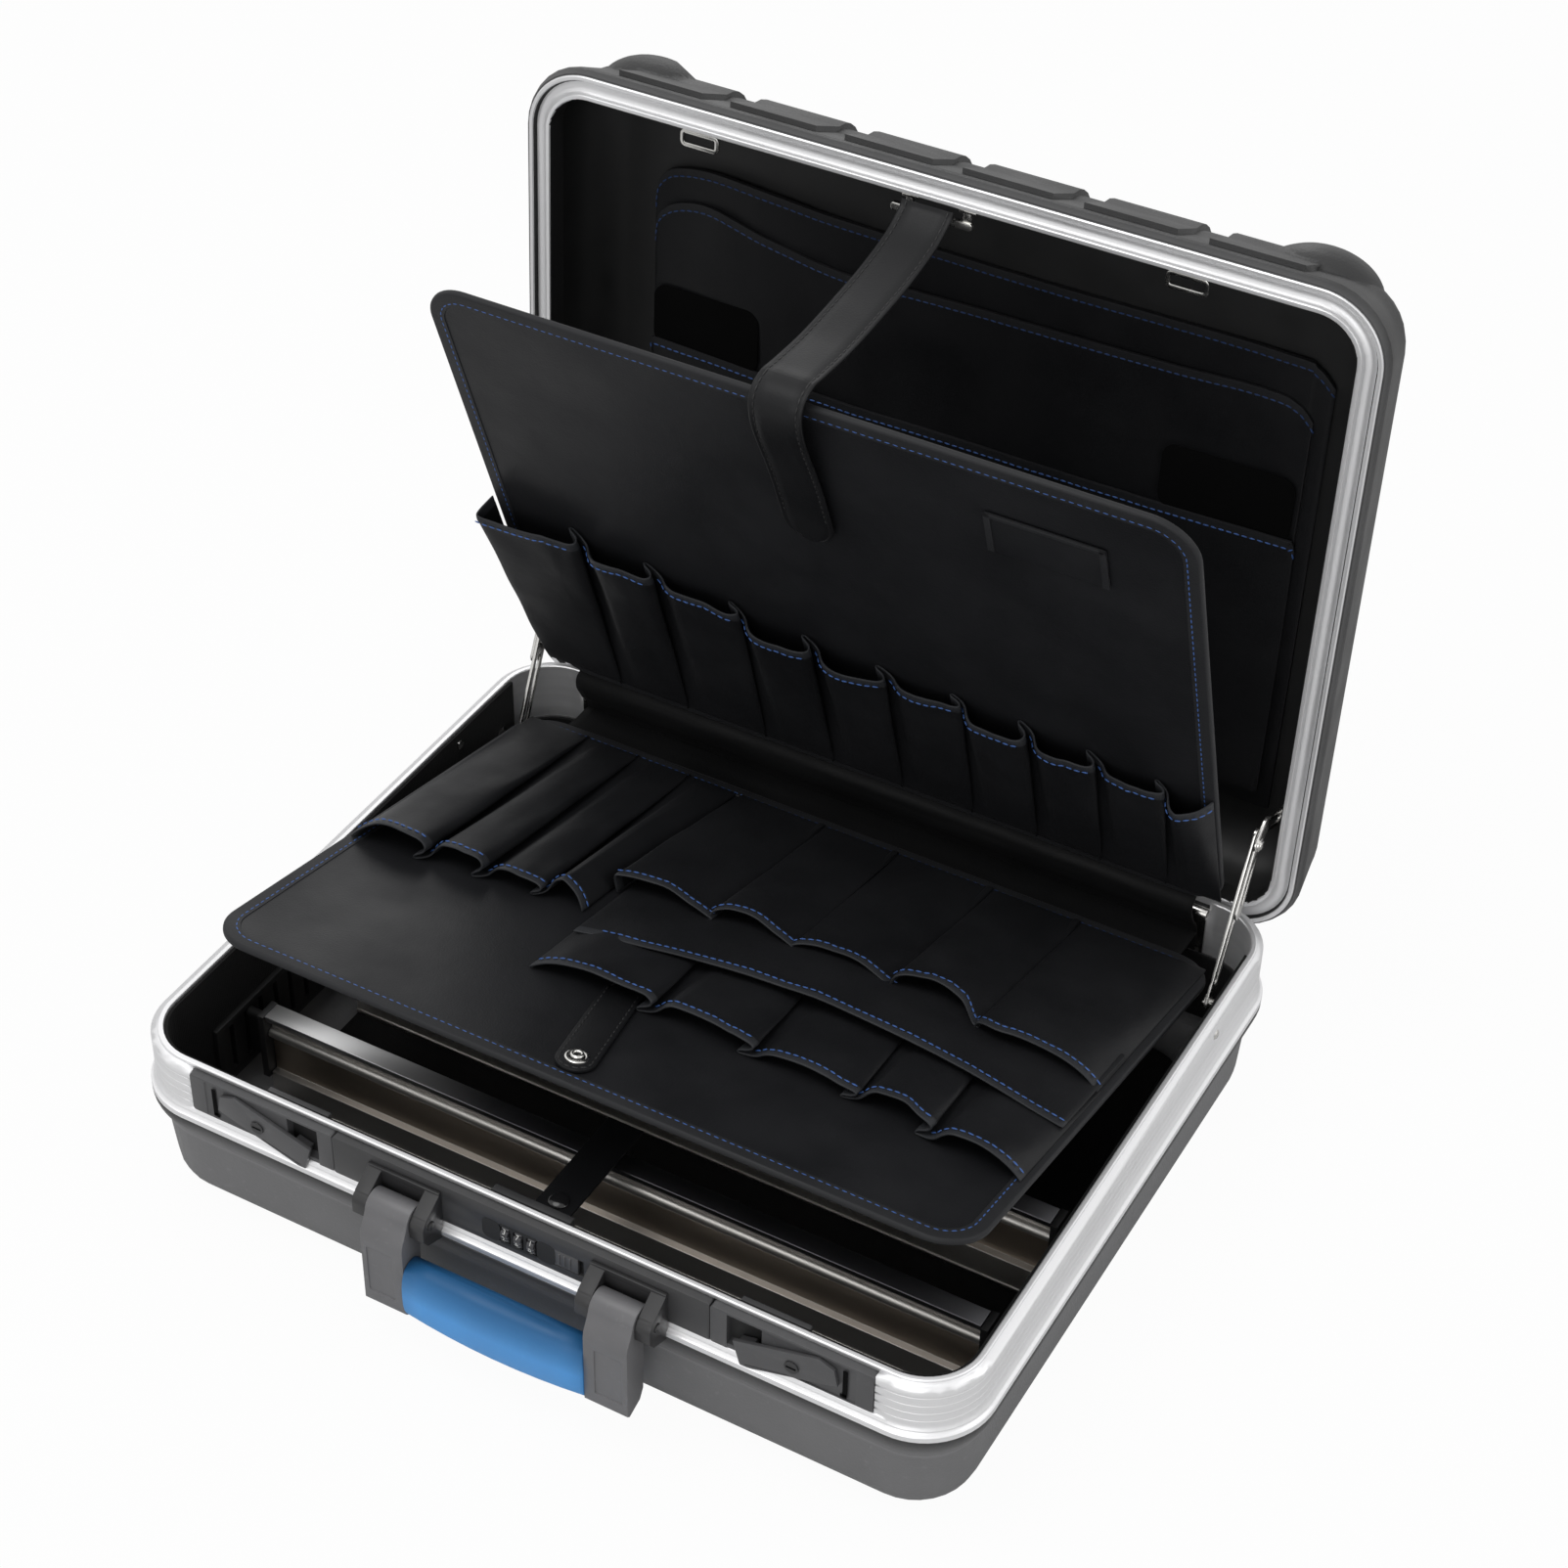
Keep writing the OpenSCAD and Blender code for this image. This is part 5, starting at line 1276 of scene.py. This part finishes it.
class CASE_OT_lid_strap(bpy.types.Operator):
    """Strap from the lid's front rim to the upper board"""

    bl_idname = "case.lid_strap"
    bl_label = "Lid strap"

    def execute(self, context):
        place = on_board(UPPER)
        lid = [Vector((0, y * MM, z * MM)) for y, z in (
            (200.5, 444), (197, 440), (184, 433), (160, 427), (130, 423), (100, 420.5))]
        board = [place @ Vector((0, y * MM, z * MM)) for y, z in (
            (324, 16), (328, 6), (327.5, -3), (322, -8.6), (311, -10.6), (296, -9.6), (280, -7.4),
            (262, -5.4), (244, -4.2), (230, -3.5), (218, -3.3))]
        path = curve_through(lid + board, 6)
        split = 6 * (len(lid) + 1)
        self.strip("lid_strap_band", path, slice(0, split + 1), "lid_strap")
        self.strip("upper_strap_band", path, slice(split, None), "upper_strap_end")
        self.strikers()
        return {"FINISHED"}

    def strikers(self):
        """Loops that the latches catch, and the hooks beside the strap, on the rim's inner face"""
        rim = -173.9
        bm = bmesh.new()
        for x in (-132, 132):
            outer = plate(bm, 22, 9.4, 3.0, 6, (x, rim + 4.6), 102.0)
            made = bmesh.ops.inset_region(bm, faces=[outer], thickness=2.3 * MM, use_boundary=True,
                                          use_even_offset=True)
            bmesh.ops.delete(bm, geom=[outer], context="FACES_ONLY")
            for f in made["faces"]:
                f.normal_update()
        grown = bmesh.ops.extrude_face_region(bm, geom=bm.faces[:])["geom"]
        bmesh.ops.translate(bm, vec=(0, 0, 1.6 * MM),
                            verts=[g for g in grown if isinstance(g, bmesh.types.BMVert)])
        for x in (-132, 132):
            raised(bm, plate(bm, 15, 1.6, 0, 1, (x, rim + 0.9), 102.2), 10.0)
        bmesh.ops.recalc_face_normals(bm, faces=bm.faces)
        round_edges(bm, 0.35)
        bmesh.ops.recalc_face_normals(bm, faces=bm.faces)
        turn_over(bm, LID)
        finished(bm, "lid_striker_loops", "bright", "lid_strikers", 40)
        bm = slabs(*(row for x in (-17.5, 13.5) for row in (
            (4.6, 9.5, 1.0, 4, (x + 3.5, rim + 4.7), 102.4, 1.7),
            (13.0, 4.2, 1.4, 5, (x, rim + 8.4), 101.6, 2.4),
            (9.0, 1.7, 0, 1, (x + 3.5, rim + 0.9), 102.0, 13.0))))
        round_edges(bm, 0.4)
        turn_over(bm, LID)
        finished(bm, "lid_hook_pair", "bright", "lid_hooks", 40)

    def strip(self, name, path, part, node):
        """Part of the strap between two places on its path; the part on the board has a round end"""
        middle, width, thick, end_r = -2.0 * MM, 28.0, 2.0, 13.0
        path = [p + Vector((middle, 0, 0)) for p in path]
        path, normals = path[part], path_normals(path)[part]
        on_lid = node == "lid_strap"
        bm = bmesh.new()
        ribbon(bm, path, normals, width, thick)
        if not on_lid:
            end = path[-1]
            along = (end - path[-2]).normalized()
            for back in (1.0, 2.5, 4.5, 7.0, 10.0):
                bmesh.ops.bisect_plane(bm, geom=bm.verts[:] + bm.edges[:] + bm.faces[:],
                                       plane_co=end - along * back * MM, plane_no=along)
            for v in bm.verts:
                near = (v.co - end).dot(along) / MM + end_r
                if near > 0:
                    v.co.x = middle + (v.co.x - middle) * math.sqrt(max(0.012, 1 - (near / end_r) ** 2))
            path, normals = path[:-8], normals[:-8]
        piece = finished(bm, name, "strap", node, 60)
        seam = bmesh.new()
        for side in (-1, 1):
            for face in (-1, 1):
                line = [p + Vector((side * width * 0.4 * MM, 0, 0)) + n * face * thick * 0.3 * MM
                        for p, n in zip(path, normals)]
                sew(seam, line, list(zip(line, [n * face for n in normals])))
        stitches = finished(seam, name + "_stitches", "dark_thread", node, stands=False)
        if on_lid:
            for o in (piece, stitches):
                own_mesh(o)


# ---------- Stage ----------


class CASE_OT_stage(bpy.types.Operator):
    """Pale floor, soft lamps and the camera"""

    bl_idname = "case.stage"
    bl_label = "Stage"

    def execute(self, context):
        self.floor()
        self.world(context.scene)
        for name, place, aim, size, power in (
            ("Overhead", (-0.5, -0.6, 2.3), (0, 0, 0.1), 1.6, 17),
            ("Front", (0.6, -2.6, 0.9), (0, 0, 0.15), 1.8, 12),
            ("Right", (2.4, 0.3, 1.3), (0, 0, 0.2), 1.4, 8),
            ("Behind", (-1.2, 2.4, 1.6), (0, 0.2, 0.25), 1.4, 8),
        ):
            self.lamp(name, place, aim, size, power)
        self.camera(context.scene)
        context.scene.view_settings.view_transform = "Standard"
        return {"FINISHED"}

    def floor(self):
        """Wide pale sheet that the camera sees almost white"""
        bm = bmesh.new()
        bmesh.ops.create_grid(bm, x_segments=1, y_segments=1, size=8)
        mesh = bpy.data.meshes.new("floor")
        bm.to_mesh(mesh)
        bm.free()
        t = Tree("floor_paper")
        paper = t.blend(t.noise(240, 3), (0.80, 0.80, 0.80, 1), (0.86, 0.86, 0.86, 1))
        t.set(Base_Color=paper, Roughness=0.9, Specular_IOR_Level=0.0)
        glow = t.add("Emission", {"Color": (1, 1, 1, 1), "Strength": 1.0})
        seen = t.math("MULTIPLY", t.add("LightPath"), 0.96)
        mixed = t.add("MixShader", {0: seen, 1: t.surface.outputs[0], 2: glow})
        t.feed(t.nodes["Material Output"].inputs["Surface"], mixed)
        mesh.materials.append(t.material)
        floor = bpy.data.objects.new("floor", mesh)
        bpy.context.scene.collection.objects.link(floor)

    def world(self, scene):
        """Even soft light, brighter where the camera and reflections see it"""
        t = Tree("", bpy.data.worlds.new("Studio"))
        seen = t.add("LightPath")
        bright = t.math("MAXIMUM", seen, seen.node.outputs["Is Glossy Ray"])
        plain, shown = (t.add("Background", {"Color": (1, 1, 1, 1), "Strength": v}) for v in (0.42, 1.0))
        mixed = t.add("MixShader", {0: bright, 1: plain, 2: shown})
        t.feed(t.nodes["World Output"].inputs["Surface"], mixed)
        scene.world = t.material

    def lamp(self, name, place, aim, size, power):
        """Round soft lamp that faces a point"""
        light = bpy.data.lights.new(name, "AREA")
        light.shape, light.size, light.energy = "DISK", size, power
        lamp = bpy.data.objects.new(name, light)
        lamp.location = place
        lamp.rotation_mode = "QUATERNION"
        lamp.rotation_quaternion = (Vector(aim) - Vector(place)).to_track_quat("-Z", "Y")
        bpy.context.scene.collection.objects.link(lamp)

    def camera(self, scene):
        """Camera at its place, turned by its bearing, elevation and roll"""
        data = bpy.data.cameras.new("Camera")
        data.lens, data.sensor_width = 74.25, 36
        data.clip_start, data.clip_end = 0.05, 60
        camera = bpy.data.objects.new("Camera", data)
        a, e, roll = (math.radians(v) for v in (28.535, 39.618, 1.308))
        back = Vector((math.sin(a) * math.cos(e), -math.cos(a) * math.cos(e), math.sin(e)))
        right = Vector((math.cos(a), math.sin(a), 0))
        turn = Matrix((right, back.cross(right), back)).transposed() @ Matrix.Rotation(roll, 3, "Z")
        camera.matrix_world = Matrix.Translation((0.59896, -1.0359, 1.2186)) @ turn.to_4x4()
        scene.collection.objects.link(camera)
        scene.camera = camera


class CASE_PT_panel(bpy.types.Panel):
    """Lists the pieces of the tool case"""

    bl_idname = "CASE_PT_panel"
    bl_label = "Tool case"
    bl_space_type = "VIEW_3D"
    bl_region_type = "UI"
    bl_category = "Tool case"

    def draw(self, context):
        for group in (context.scene.case_sizes, context.scene.case_colours):
            for key in group.__annotations__:
                self.layout.prop(group, key)
        for step in STEPS:
            self.layout.operator(step.bl_idname)


STEPS = (CASE_OT_shells, CASE_OT_frame, CASE_OT_linings, CASE_OT_latches, CASE_OT_lock, CASE_OT_handle,
         CASE_OT_dividers, CASE_OT_base_strap, CASE_OT_stays, CASE_OT_lower_board, CASE_OT_upper_board,
         CASE_OT_lid_pockets, CASE_OT_lid_strap, CASE_OT_stage)
CLASSES = (CaseColours, CaseSizes, *STEPS, CASE_PT_panel)


def register():
    for cls in CLASSES:
        bpy.utils.register_class(cls)
    bpy.types.Scene.case_colours = PointerProperty(type=CaseColours)
    bpy.types.Scene.case_sizes = PointerProperty(type=CaseSizes)


def unregister():
    del bpy.types.Scene.case_sizes
    del bpy.types.Scene.case_colours
    for cls in reversed(CLASSES):
        bpy.utils.unregister_class(cls)


def main():
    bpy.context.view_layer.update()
    register()
    for step in STEPS:
        group, name = step.bl_idname.split(".")
        getattr(getattr(bpy.ops, group), name)()


if __name__ == "__main__":
    main()
